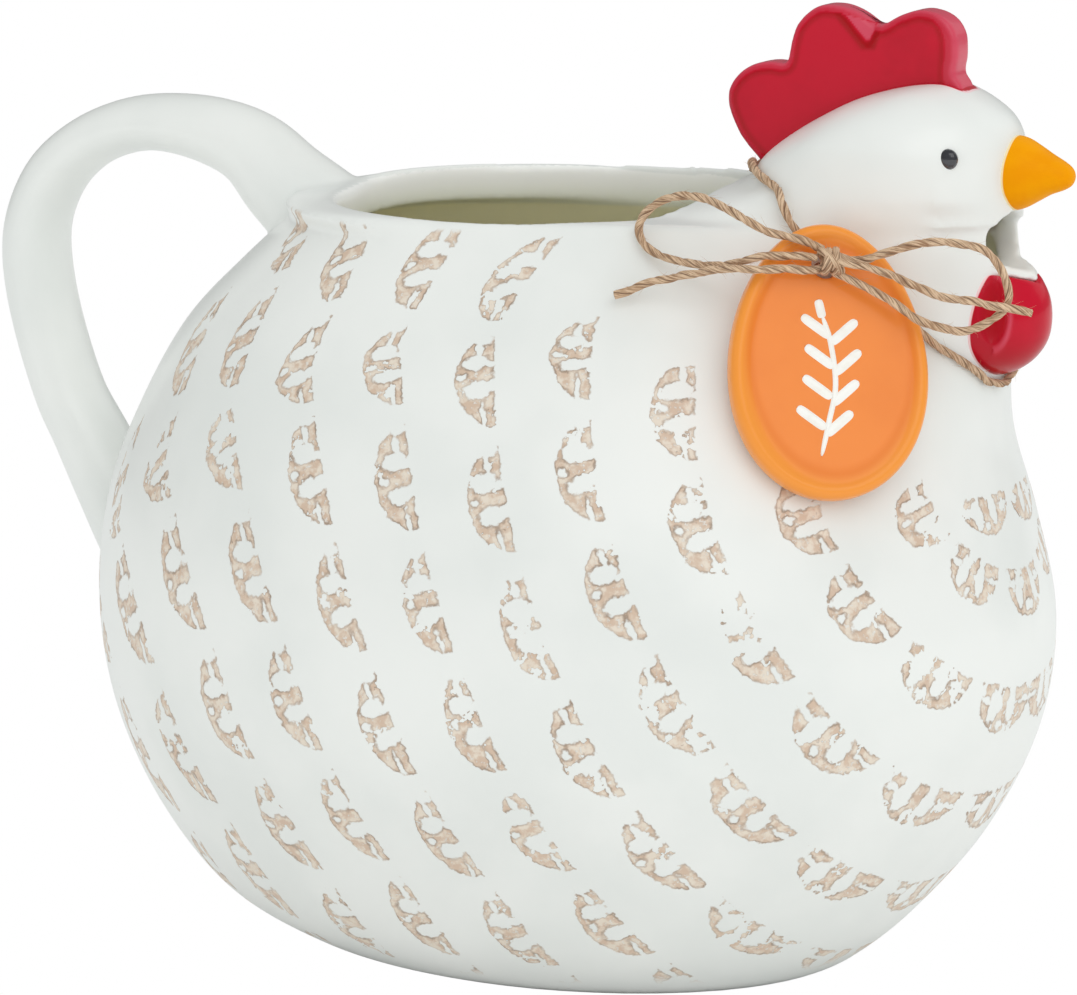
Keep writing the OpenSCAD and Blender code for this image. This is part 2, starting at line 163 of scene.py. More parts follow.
@dataclass
class Graph:
    """The nodes of one material or of the world."""

    tree: bpy.types.NodeTree

    def add(self, op: Op, *inputs: Value, **named: Value) -> Socket | None:
        """Adds one node with its settings and links.

        Args:
            op: which node.
            *inputs: its inputs in the order that the op gives.
            **named: inputs by name, and any other property of the node.

        Returns:
            Its main output, through whose node the others are found, or None if it has none.
        """
        node = self.tree.nodes.new("ShaderNode" + op.kind)
        for name, value in op.settings.items():
            setattr(node, name, value)
        filled = {op.order[i] if op.order else i: value for i, value in enumerate(inputs)}
        for name, value in (filled | named).items():
            if isinstance(name, str) and name not in node.inputs:
                setattr(node, name, value)
            elif isinstance(value, Socket):
                self.tree.links.new(value, node.inputs[name])
            else:
                node.inputs[name].default_value = linear(value) if isinstance(value, str) else value
        return node.outputs[op.out] if node.outputs else None


def grain(size: float) -> float:
    """A noise's scale, as features in a metre, for features of a size in millimetres."""
    return 1 / (size * MM)


def fresh_graph(owner: bpy.types.Material | bpy.types.World) -> Graph:
    """Empties the nodes of a material or a world.

    Args:
        owner: the material or the world.

    Returns:
        Its graph.
    """
    owner.use_nodes = True
    owner.node_tree.nodes.clear()
    return Graph(owner.node_tree)


@dataclass(frozen=True)
class Finish:
    """A real finish: what it is, its index of refraction and how rough it is."""

    name: str
    colour: str
    roughness: float
    ior: float
    coat: float = 0.0
    coat_roughness: float = 0.1
    specular: float = 0.5

    def start(self) -> tuple[bpy.types.Material, Graph]:
        """Makes an empty material with this finish's name, and its graph."""
        material = bpy.data.materials.new(self.name)
        return material, fresh_graph(material)

    def close(self, graph: Graph, driven: dict[str, Socket]) -> None:
        """Ends a material's graph with this finish.

        Args:
            graph: the material's graph.
            driven: the sockets that nodes drive, by name.
        """
        sockets = {
            "Base Color": self.colour,
            "Roughness": self.roughness,
            "IOR": self.ior,
            "Specular IOR Level": self.specular,
            "Coat Weight": self.coat,
            "Coat Roughness": self.coat_roughness,
        }
        graph.add(Op.SURFACE, graph.add(Op.PRINCIPLED, **(sockets | driven)))


# Satin stoneware glaze, dipped and fired: a white feldspathic glass, index of refraction about
# 1.5. It gives the eye soft, wide lights and faint clouds, and no mirror image.
WHITE_GLAZE = Finish("satin_white_glaze", "F3F4F1", 0.36, 1.5, 0.2, 0.18)
# Underglaze brushed on under a clear gloss glass. The red pools darker in places, with a painted
# highlight on an edge; the yellow is even and softly shiny, and the charcoal shows a sharp small light.
RED_GLAZE = Finish("gloss_red_glaze", "CB0C2C", 0.30, 1.52, 0.22, 0.06, 0.15)
YELLOW_GLAZE = Finish("gloss_yellow_glaze", "FBA500", 0.45, 1.52, 0.0, 0.1, 0.05)
CHARCOAL_GLAZE = Finish("gloss_charcoal_glaze", "36363C", 0.18, 1.52, 0.8, 0.05)
# Coloured gloss glaze that floods the egg's face; it is drawn darker in the groove inside the rim, and paler
# on the rim as a painted highlight
ORANGE_GLAZE = Finish("gloss_orange_glaze", "F58C3C", 0.32, 1.52, 0.25, 0.08, 0.25)
# White enamel, trailed on by hand: a raised line with a soft light along its top
WHITE_ENAMEL = Finish("white_enamel", "FFFDF8", 0.3, 1.52)
# Natural jute, spun and laid: a dull plant fibre that shows pale streaks, with painted shade in the flutes
# between its plies
JUTE = Finish("jute", "B5957A", 0.85, 1.46)


def between(a: np.ndarray, b: np.ndarray, c: np.ndarray, d: np.ndarray, t: float) -> np.ndarray:
    """A point on the smooth curve through four neighbours, t of the way from b to c."""
    return b + (t / 2) * ((c - a) + t * ((2 * a - 5 * b + 4 * c - d) + t * (3 * (b - c) + d - a)))


def smooth_rows(rows: Table | list, steps: int, closed: bool = False) -> np.ndarray:
    """Puts smooth steps between the rows of a table.

    Args:
        rows: the table.
        steps: steps between two rows.
        closed: True joins the last row to the first.

    Returns:
        The finer table.
    """
    table = np.array(rows, float)
    n = len(table)
    out = []
    for i in range(n if closed else n - 1):
        ids = [(i + k) % n if closed else min(max(i + k, 0), n - 1) for k in (-1, 0, 1, 2)]
        a, b, c, d = table[ids]
        out += [between(a, b, c, d, s / steps) for s in range(steps)]
    if not closed:
        out.append(table[-1])
    return np.array(out)


def round_angles(count: int) -> np.ndarray:
    """Even angles round a full turn, in radians."""
    return np.linspace(0, 2 * math.pi, count, endpoint=False)


def mesh_object(name: str, points: np.ndarray | list, faces: list) -> Piece:
    """Makes a mesh object.

    Args:
        name: the object's name.
        points: the points in metres.
        faces: the corners of each face, as numbers of points.

    Returns:
        The object, linked to the scene.
    """
    mesh = bpy.data.meshes.new(name)
    mesh.from_pydata([tuple(p) for p in points], [], [tuple(f) for f in faces])
    mesh.validate()
    mesh.update()
    obj = bpy.data.objects.new(name, mesh)
    bpy.context.scene.collection.objects.link(obj)
    return obj


def loft(name: str, rings: np.ndarray, region: Region = Region.CAPPED) -> Piece:
    """Makes a mesh object through rings of points given in millimetres.

    Args:
        name: the object's name.
        rings: levels by points by three, each ring counter-clockwise seen from the last ring.
        region: whether the ends are capped or the last ring joins the first.

    Returns:
        The object, linked to the scene.
    """
    m, n = rings.shape[:2]
    k = np.arange(n)
    faces = []
    for j in range(m if region is Region.ENDLESS else m - 1):
        low, high = j * n, ((j + 1) % m) * n
        faces += np.stack([low + k, low + (k + 1) % n, high + (k + 1) % n, high + k], axis=1).tolist()
    if region is Region.CAPPED:
        faces.append(k[::-1].tolist())
        faces.append(((m - 1) * n + k).tolist())
    return mesh_object(name, rings.reshape(-1, 3) * MM, faces)


def cylinder(name: str, centre: tuple, axis_x: tuple, axis_y: tuple, along: tuple) -> Piece:
    """A straight cylinder with an elliptical section, in millimetres.

    Args:
        name: the object's name.
        centre: the middle of its first end.
        axis_x: from there to one end of the ellipse.
        axis_y: from there to the ellipse's side.
        along: from its first end to its last.

    Returns:
        The object.
    """
    a = round_angles(96)[:, None]
    ring = np.cos(a) * np.array(axis_x, float) + np.sin(a) * np.array(axis_y, float)
    first = np.array(centre, float) + ring
    return loft(name, np.stack([first, first + np.array(along, float)]))


def modify(obj: Piece, kind: str, **settings: object) -> None:
    """Adds a modifier.

    Args:
        obj: the piece that gets it.
        kind: the modifier's type.
        **settings: its settings.
    """
    mod = obj.modifiers.new(kind.lower(), kind)
    for name, value in settings.items():
        setattr(mod, name, value)


def settle(obj: Piece, *tools: Piece) -> Piece:
    """Turns an object's modifiers into its mesh, with smooth shading.

    Args:
        obj: the piece.
        *tools: the objects that its modifiers used, which are removed.

    Returns:
        The piece.
    """
    graph = bpy.context.evaluated_depsgraph_get()
    graph.update()
    mesh = bpy.data.meshes.new_from_object(obj.evaluated_get(graph))
    obj.modifiers.clear()
    old = obj.data
    obj.data = mesh
    bpy.data.meshes.remove(old)
    for tool in tools:
        bpy.data.objects.remove(tool)
    mesh.shade_smooth()
    return obj


def carve(obj: Piece, *steps: tuple[Carve, Piece]) -> Piece:
    """Joins, cuts or keeps what each tool meets, in order, and removes the tools.

    Args:
        obj: the piece.
        *steps: what to do, and the tool.

    Returns:
        The piece.
    """
    for operation, tool in steps:
        tool.hide_render = tool.hide_viewport = True
        modify(obj, "BOOLEAN", operation=operation.value, object=tool, solver="EXACT")
    return settle(obj, *(tool for _, tool in steps))


def soften(obj: Piece, voxel: float, rounds: int, faces: int) -> None:
    """Rounds an object's edges: a voxel remesh, smoothing, and a decimation to a face count.

    Args:
        obj: the piece.
        voxel: the size of a voxel in millimetres.
        rounds: how often it is smoothed.
        faces: the most triangles that are left.
    """
    modify(obj, "REMESH", mode="VOXEL", voxel_size=voxel * MM, use_smooth_shade=True)
    modify(obj, "SMOOTH", factor=0.5, iterations=rounds)
    settle(obj)
    triangles = 2 * len(obj.data.polygons)
    if triangles > faces:
        modify(obj, "DECIMATE", ratio=faces / triangles)
        settle(obj)


def vertices(obj: Piece) -> np.ndarray:
    """Reads the vertices of an object.

    Args:
        obj: the piece.

    Returns:
        A row for each vertex, in millimetres.
    """
    co = np.empty(len(obj.data.vertices) * 3, np.float32)
    obj.data.vertices.foreach_get("co", co)
    return co.reshape(-1, 3).astype(float) / MM


def move_to(obj: Piece, points: np.ndarray) -> None:
    """Gives an object's vertices new places, in millimetres."""
    obj.data.vertices.foreach_set("co", (points * MM).astype(np.float32).ravel())
    obj.data.update()


def normals(obj: Piece) -> np.ndarray:
    """Reads the vertex normals of an object.

    Args:
        obj: the piece.

    Returns:
        A row for each vertex.
    """
    no = np.empty(len(obj.data.vertices) * 3, np.float32)
    obj.data.vertex_normals.foreach_get("vector", no)
    return no.reshape(-1, 3).astype(float)


def store(obj: Piece, name: str, values: np.ndarray) -> None:
    """Keeps one number for each vertex as a mesh attribute."""
    layer = obj.data.attributes.new(name, "FLOAT", "POINT")
    layer.data.foreach_set("value", values.astype(np.float32))


def dress(obj: Piece, material: bpy.types.Material, slot: Slot, body: Body, *nodes: str) -> Piece:
    """Gives a piece its looks and its place in the part.

    Args:
        obj: the piece.
        material: its material.
        slot: its finish slot; not used.
        body: what it rides on.
        *nodes: the CAD nodes that it stands for.

    Returns:
        The piece.
    """
    obj.data.materials.clear()
    obj.data.materials.append(material)
    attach(obj, body.value)
    if nodes:
        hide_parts(*nodes)
    return obj


@dataclass(frozen=True)
class Skin:
    """The outer skin as levels from the foot to the crown, in the CAD source's millimetres.

    Each row of the tables is a height, the tail, the widest place, the breast, the half width and
    the pinch of the front. The body's rows are shares of its rim, length and width, and the head's
    are shares of the head's height over the rim, and of the neck's length and width.
    """

    length: float = 224.0
    width: float = 180.0
    rim: float = 165.0
    wall: float = 5.0
    floor: float = 8.0
    neck_l: float = 62.0
    neck_w: float = 54.0
    neck_x: float = 65.852
    head: float = 35.6
    body_rows: Table = (
        (0.000, -0.285, -0.037, 0.210, 0.242, 0.00),
        (0.022, -0.350, -0.045, 0.243, 0.291, 0.00),
        (0.085, -0.433, -0.063, 0.298, 0.360, 0.00),
        (0.200, -0.498, -0.075, 0.370, 0.430, 0.00),
        (0.340, -0.540, -0.071, 0.420, 0.490, 0.00),
        (0.485, -0.556, -0.068, 0.434, 0.500, 0.00),
        (0.625, -0.543, -0.073, 0.415, 0.486, 0.04),
        (0.745, -0.508, -0.080, 0.394, 0.450, 0.10),
        (0.855, -0.461, -0.080, 0.398, 0.403, 0.20),
        (0.940, -0.400, -0.074, 0.407, 0.357, 0.29),
        (1.000, -0.350, -0.065, 0.413, 0.320, 0.34),
    )
    head_rows: Table = (
        (0.149, -2.214, -1.479, 0.430, 1.000, 0.31),
        (0.169, -1.064, -0.487, 0.432, 0.629, 0.02),
        (0.205, -0.834, -0.479, 0.434, 0.564, 0.01),
        (0.313, -0.662, -0.173, 0.434, 0.549, 0.03),
        (0.365, -0.566, -0.074, 0.432, 0.505, 0.00),
        (0.520, -0.490, -0.060, 0.436, 0.490, 0.00),
        (0.660, -0.384, -0.022, 0.433, 0.444, 0.00),
        (0.787, -0.260, 0.019, 0.400, 0.380, 0.00),
        (0.888, -0.139, 0.067, 0.330, 0.296, 0.00),
        (0.961, 0.000, 0.110, 0.255, 0.194, 0.00),
        (1.000, 0.120, 0.160, 0.210, 0.074, 0.00),
    )

    def levels(self, steps: int) -> np.ndarray:
        """The skin's levels in millimetres.

        Args:
            steps: smooth steps between two rows.

        Returns:
            A row for each level, in the order of the tables.
        """
        size, neck, neck_x = self.length, self.neck_l, self.neck_x
        rows = [
            (z * self.rim, t * size, w * size, b * size, h * self.width, p)
            for z, t, w, b, h, p in self.body_rows
        ]
        for z, t, w, b, h, p in self.head_rows:
            places = (neck_x + share * neck for share in (t, w, b))
            rows.append((self.rim + z * self.head, *places, h * self.neck_w, p))
        return smooth_rows(rows, steps)

    def hollow(self, steps: int, wall: float) -> np.ndarray:
        """The levels of the hollow, a wall inside the skin and over the floor.

        Args:
            steps: smooth steps between two rows.
            wall: how thick the wall is, in millimetres.

        Returns:
            A row for each level.
        """
        crown = self.rim + self.head
        rows = self.levels(steps)[: -2 * steps].copy()
        rows[:, 0] = self.floor + rows[:, 0] * (crown - self.floor - wall) / crown
        rows[:, 1] += wall
        rows[:, 3:5] -= wall
        return rows

    @staticmethod
    def rings(rows: np.ndarray, count: int) -> np.ndarray:
        """Turns levels into rings of points.

        Args:
            rows: the levels.
            count: points in a ring.

        Returns:
            An array of levels by points by three.
        """
        a = round_angles(count)
        z, tail, wide, breast, half, pinch = (rows[:, k, None] for k in range(6))
        cos, sin = np.cos(a)[None], np.sin(a)[None]
        reach = np.where(cos > 0, breast - wide, wide - tail)
        squeeze = 1 - pinch * ((1 + cos) / 2) ** 2
        return np.stack([wide + reach * cos, half * sin * squeeze, z + 0 * cos], axis=2)

    @staticmethod
    def depth(points: np.ndarray, rows: np.ndarray) -> np.ndarray:
        """Where vertices lie across their level.

        Args:
            points: the vertices.
            rows: the levels.

        Returns:
            1 for each vertex on the skin, less inside and more outside.
        """
        level = points[:, 2]
        tail, wide, breast, half, pinch = (np.interp(level, rows[:, 0], rows[:, k]) for k in range(1, 6))
        x = points[:, 0] - wide
        reach = np.where(x > 0, breast - wide, wide - tail)
        squeeze = 1 - pinch * ((1 + np.clip(x / reach, -1, 1)) / 2) ** 2
        return np.hypot(x / reach, points[:, 1] / (half * squeeze))

    def tree(self, steps: int = 8) -> BVHTree:
        """A search tree of the skin, in millimetres.

        Args:
            steps: smooth steps between two rows.

        Returns:
            The tree.
        """
        rings = self.rings(self.levels(steps), 160)
        m, n = rings.shape[:2]
        k = np.arange(n)
        step = (k + 1) % n
        faces = [np.stack([k, step, n + step, n + k], axis=1) + j * n for j in range(m - 1)]
        return BVHTree.FromPolygons(rings.reshape(-1, 3).tolist(), np.concatenate(faces).tolist())


# The one skin that every piece is fitted to
SKIN = Skin()


@dataclass
class FeatherMarks:
    """Rows of stamped half-moon feathers, as circles round a pole on the breast.

    The pole and the rows are on a sphere round the belly's middle, so that a mark keeps its size
    all over the belly. Turns are in degrees from the neck down to the foot.
    """

    centre: tuple[float, float, float] = (-10.1, 0.0, 78.1)
    stretch: tuple[float, float, float] = (1.0, 0.91, 0.99)
    pole: float = 23.0
    first: float = -3.25
    spacing: float = 13.46
    # For each row from the breast back: the turn of its uppermost mark, and the step to the next
    rows: Table = (
        (131, 135), (105, 37), (88, 27), (59, 24.3), (46, 21.6), (27.5, 20.8), (23.5, 19.2),
        (17.5, 19.6), (5, 20.6), (16.5, 22.6), (30, 29), (45, 40), (175, 120),
    )

    def coordinates(self, points: np.ndarray) -> tuple[np.ndarray, np.ndarray]:
        """Where points lie in the rows.

        Args:
            points: the points in millimetres.

        Returns:
            The row number and the turn round the pole.
        """
        d = (points - np.array(self.centre)) * np.array(self.stretch)
        d /= np.linalg.norm(d, axis=1, keepdims=True)
        tilt = math.radians(self.pole)
        pole = np.array([math.cos(tilt), 0, math.sin(tilt)])
        up = np.array([-math.sin(tilt), 0, math.cos(tilt)])
        away = np.degrees(np.arccos(np.clip(d @ pole, -1, 1)))
        turn = np.degrees(np.arctan2(np.abs(d[:, 1]), d @ up))
        # Near the mouth the rows draw together and the marks get closer
        row = (away - self.first) / self.spacing + 0.045 * np.clip(42 - turn, 0, None)
        return row, turn - 0.5 * np.clip(50 - turn, 0, None)

    @staticmethod
    def breast(points: np.ndarray) -> tuple[np.ndarray, np.ndarray]:
        """Where points lie on the breast's own mark, which lies flat.

        Args:
            points: the points in millimetres.

        Returns:
            How far along and across it they are, as shares.
        """
        along = (10.2 - np.abs(points[:, 1])) / 9.6
        across = np.where(points[:, 0] > 20, (112.1 - points[:, 2]) / 8.2, 9.0)
        return along, across


@dataclass
class MarkShader:
    """Draws one half-moon in each cell of the rows.

    A mark's own coordinates are s, from its upper tip at -1 to its lower tip at 1, and t, from its
    straight side at 0 to the middle of its round side at 1. Sizes are in millimetres.
    """

    graph: Graph
    marks: FeatherMarks
    half_length: float = 12.0
    width: float = 8.6
    pitch: float = 28.5
    span: float = 20.5
    # The bites out of the half-moon: their middle along and across, and their half sizes
    bites: Table = (
        (-0.38, 0.43, 0.175, 0.34), (-0.28, 0.03, 0.075, 0.20), (0.25, 0.38, 0.165, 0.34),
        (0.22, 0.03, 0.125, 0.20), (0.80, 0.29, 0.24, 0.060), (-0.68, 0.32, 0.17, 0.085),
        (-0.95, 0.22, 0.12, 0.22), (-0.06, 0.78, 0.075, 0.11),
    )

    def turns(self, index: Socket) -> list[Socket]:
        """Looks up where a row's marks are.

        Args:
            index: the row's number.

        Returns:
            The turn of its first mark and the step to the next, in degrees.
        """
        add, size = self.graph.add, 16
        table = add(Op.LOOKUP, add(Op.OVER, add(Op.PLUS, index, 0.5), size))
        ramp = table.node.color_ramp
        ramp.interpolation = "CONSTANT"
        for k, (start, step) in enumerate(self.marks.rows):
            stop = ramp.elements[k] if k < 2 else ramp.elements.new(k / size)
            stop.position = k / size
            stop.color = (start / 180, step / 180, 0, 1)
        parts = add(Op.CHANNELS, table).node.outputs
        return [add(Op.TIMES, parts[k], 180.0) for k in (0, 1)]

    def choose(self, factor: Socket, a: Socket, b: Socket) -> Socket:
        """Number a where the factor is 0, and b where it is 1."""
        add = self.graph.add
        return add(Op.PLUS, a, add(Op.TIMES, factor, add(Op.MINUS, b, a)))

    def jitter(self, value: Socket, chance: Socket, size: float) -> Socket:
        """Moves a value by a chance between 0 and 1, at most half a size either way."""
        add = self.graph.add
        return add(Op.PLUS, value, add(Op.TIMES, add(Op.MINUS, chance, 0.5), size))

    def far(self, a: Socket, b: Socket) -> Socket:
        """The distance of a point from 0."""
        add = self.graph.add
        return add(Op.ROOT, add(Op.PLUS, add(Op.TIMES, a, a), add(Op.TIMES, b, b)))

    def shape(self, s: Socket, t: Socket, luck: list[Socket]) -> Socket:
        """How far inside the worn half-moon a point is.

        Args:
            s: where the point is along the mark.
            t: where it is across the mark.
            luck: two chances that shift this mark's bites.

        Returns:
            A number that is over 0 inside.
        """
        add = self.graph.add
        shape = add(Op.LEAST, add(Op.MINUS, 1.0, self.far(s, t)), add(Op.TIMES, t, 0.8))
        s, t = self.jitter(s, luck[0], 0.10), self.jitter(t, luck[1], 0.12)
        for middle_s, middle_t, half_s, half_t in self.bites:
            ds = add(Op.OVER, add(Op.MINUS, s, middle_s), half_s)
            dt = add(Op.OVER, add(Op.MINUS, t, middle_t), half_t)
            bite = add(Op.TIMES, add(Op.MINUS, self.far(ds, dt), 1.0), min(half_s, half_t))
            shape = add(Op.SOFT_LEAST, shape, bite, 0.03)
        return shape

    def build(self, place: Socket, stored: list[Socket], bare: Socket) -> tuple[Socket, Socket]:
        """Makes the nodes.

        Args:
            place: the object coordinates.
            stored: the row, which grows away from the breast, the turn round the pole in degrees,
                and the coordinates of the breast's own mark.
            bare: 0 where no mark may be.

        Returns:
            The wash's amount and its dark edge.
        """
        add = self.graph.add
        row, turn, own_s, own_t = stored
        # The clay tears in bits of about 4 mm, so the outline wanders at that size
        torn = add(Op.NOISE, place, grain(3.846), 2, 0.6).node.outputs["Color"]
        shift = add(Op.CHANNELS, torn).node.outputs
        index = add(Op.WHOLE, row)
        start, step = self.turns(index)
        along = add(Op.PLUS, add(Op.OVER, add(Op.MINUS, turn, start), step), 0.5)
        number = add(Op.WHOLE, along)
        s = add(Op.TIMES, add(Op.MINUS, add(Op.MINUS, along, number), 0.5), self.pitch / self.half_length)
        t = add(Op.TIMES, add(Op.MINUS, add(Op.MINUS, row, index), 0.27), self.span / self.width)
        middle = add(Op.TIMES, add(Op.UNSIGNED, add(Op.MINUS, own_t, 0.5)), 1.7)
        near = add(Op.BELOW, add(Op.MOST, add(Op.UNSIGNED, own_s), middle), 1.1)
        s = self.jitter(self.choose(near, s, own_s), shift[0], 0.15)
        t = self.jitter(self.choose(near, t, own_t), shift[1], 0.22)
        dice = add(Op.DICE, add(Op.VECTOR, index, number))
        luck = add(Op.CHANNELS, dice.node.outputs["Color"]).node.outputs
        shape = self.shape(s, t, luck)
        # Worn patches are about 5 mm wide, and some marks are worn more than others
        worn = add(Op.PLUS, add(Op.NOISE, place, grain(5.263), 3, 0.65), add(Op.TIMES, dice, 0.12))
        shape = add(Op.MINUS, shape, add(Op.TIMES, add(Op.STEP, worn, 0.63, 0.71), 0.2))
        # The stamp's edge is ragged by a grain of about 1 mm
        shape = self.jitter(shape, add(Op.NOISE, place, grain(1.25), 2), 0.12)
        full = add(Op.TIMES, add(Op.ABOVE, number, -0.5), add(Op.ABOVE, index, 0.5))
        shown = add(Op.TIMES, add(Op.MOST, near, full), bare)
        height = add(Op.AXES, place).node.outputs[2]
        shown = add(Op.TIMES, shown, add(Op.STEP, height, 0.004, 0.008))
        # Pinholes of under 1 mm in the wash, drawn as coarse as the render can show
        pits = add(Op.STEP, add(Op.NOISE, place, grain(0.9091), 2), 0.60, 0.66, 1.0, 0.45)
        fill = add(Op.TIMES, add(Op.TIMES, add(Op.STEP, shape, -0.01, 0.03), pits), shown)
        line = add(Op.UNSIGNED, add(Op.OVER, add(Op.MINUS, shape, 0.022), 0.034))
        line = add(Op.MINUS, 1.0, line, use_clamp=True)
        line = add(Op.TIMES, line, add(Op.STEP, add(Op.NOISE, place, grain(6.667), 2), 0.35, 0.6, 0.35, 0.85))
        return fill, add(Op.TIMES, line, shown)


@dataclass
class Bulge:
    """The bulge under the spout: a white lip above, and the red wattle that hangs from it."""

    reach: float = 34.4
    width: float = 27.0
    height: float = 26.0
    # The height of its foot, as a share of the rim's
    foot_share: float = 0.833
    # How many degrees the edge between red and white rises to both sides
    rise: float = 16.0
    rows: Table = (
        (0.00, 0.700, 0.14),
        (0.05, 0.800, 0.27),
        (0.15, 0.900, 0.40),
        (0.30, 0.975, 0.48),
        (0.48, 1.000, 0.49),
        (0.66, 0.985, 0.46),
        (0.82, 0.925, 0.41),
        (0.92, 0.865, 0.36),
        (1.00, 0.800, 0.30),
    )
    # The recess in each side: its middle as shares of the reach and the width, its height, the way
    # that it faces and its half sizes
    recess_shares: tuple[float, float] = (0.75, 0.404)
    recess_z: float = 152.6
    facing: tuple[float, float] = (0.455, 0.89)
    recess_half: tuple[float, float] = (3.1, 7.0)
    recess_deep: float = 1.5
    ridge_high: float = 0.4

    @property
    def foot(self) -> float:
        """The height of its foot."""
        return SKIN.rim * self.foot_share

    def over_lip(self, name: str) -> Piece:
        """The space over the edge where the lip turns red.

        Args:
            name: the object's name.

        Returns:
            A block with a bottom that rises to both sides.
        """
        low, aside, tall = self.foot + 0.79 * self.height, 50, 45
        rise = aside * math.tan(math.radians(self.rise))
        half = [(aside, low + rise), (aside, low + tall)]
        section = np.array([(0, low), *half, *[(-y, z) for y, z in half[::-1]]])
        ends = (SKIN.neck_x - 30, SKIN.neck_x + 90)
        return loft(name, np.stack([np.c_[np.full(5, x), section] for x in ends]))

    def solid(self, name: str) -> Piece:
        """The whole bulge as a closed solid.

        Args:
            name: the object's name.

        Returns:
            The solid.
        """
        rows = smooth_rows(self.rows, 6)
        root = SKIN.neck_x + 0.50 * self.reach
        a = round_angles(64)[None]
        x = root + (SKIN.neck_x + rows[:, 1, None] * self.reach - root) * np.cos(a)
        y = rows[:, 2, None] * self.width * np.sin(a)
        z = self.foot + rows[:, 0, None] * self.height + 0 * a
        return loft(name, np.stack([x, y, z], axis=2))

    def lip(self) -> Piece:
        """The white lip, to be joined to the body."""
        return carve(self.solid("tool_lip"), (Carve.KEEP, self.over_lip("tool_block")))

    def wattle(self) -> Piece:
        """Makes the red wattle with a recess in each side, and stores its painted light and shade.

        Returns:
            The wattle.
        """
        steps = 8
        hollow = loft("tool_hollow", SKIN.rings(SKIN.hollow(steps, SKIN.wall / 2), 240))
        above = self.over_lip("tool_over")
        obj = carve(self.solid("wattle_visual"), (Carve.CUT, above), (Carve.CUT, hollow))
        soften(obj, 0.4, 12, 50000)
        points = vertices(obj)
        side = np.sign(points[:, 1])
        x = points[:, 0] - (SKIN.neck_x + self.recess_shares[0] * self.reach)
        y = np.abs(points[:, 1]) - self.recess_shares[1] * self.width
        cos, sin = self.facing
        along, out = sin * x - cos * y, cos * x + sin * y
        ring = np.hypot(along / self.recess_half[0], (points[:, 2] - self.recess_z) / self.recess_half[1])
        near = np.clip((out + 3.5) / 1.5, 0, 1)
        deep = self.recess_deep * np.clip(1 - ring**2, 0, 1) ** 0.7 * near
        ridge = self.ridge_high * np.exp(-(((ring - 1.2) / 0.16) ** 2)) * near * (along > 0)
        # Painted light and shade: a painted highlight on the ridge in front of each recess, painted shade in
        # the recess and towards the bottom
        foot = np.clip((147 - points[:, 2]) / 7, 0, 1) * 0.6
        painted_light = np.clip(ridge / self.ridge_high * 0.6, 0, 1) - np.clip(deep * 0.45 + foot, 0, 0.8)
        store(obj, "painted_light", painted_light)
        points[:, 0] -= cos * (deep - ridge)
        points[:, 1] -= side * sin * (deep - ridge)
        move_to(obj, points)
        return obj


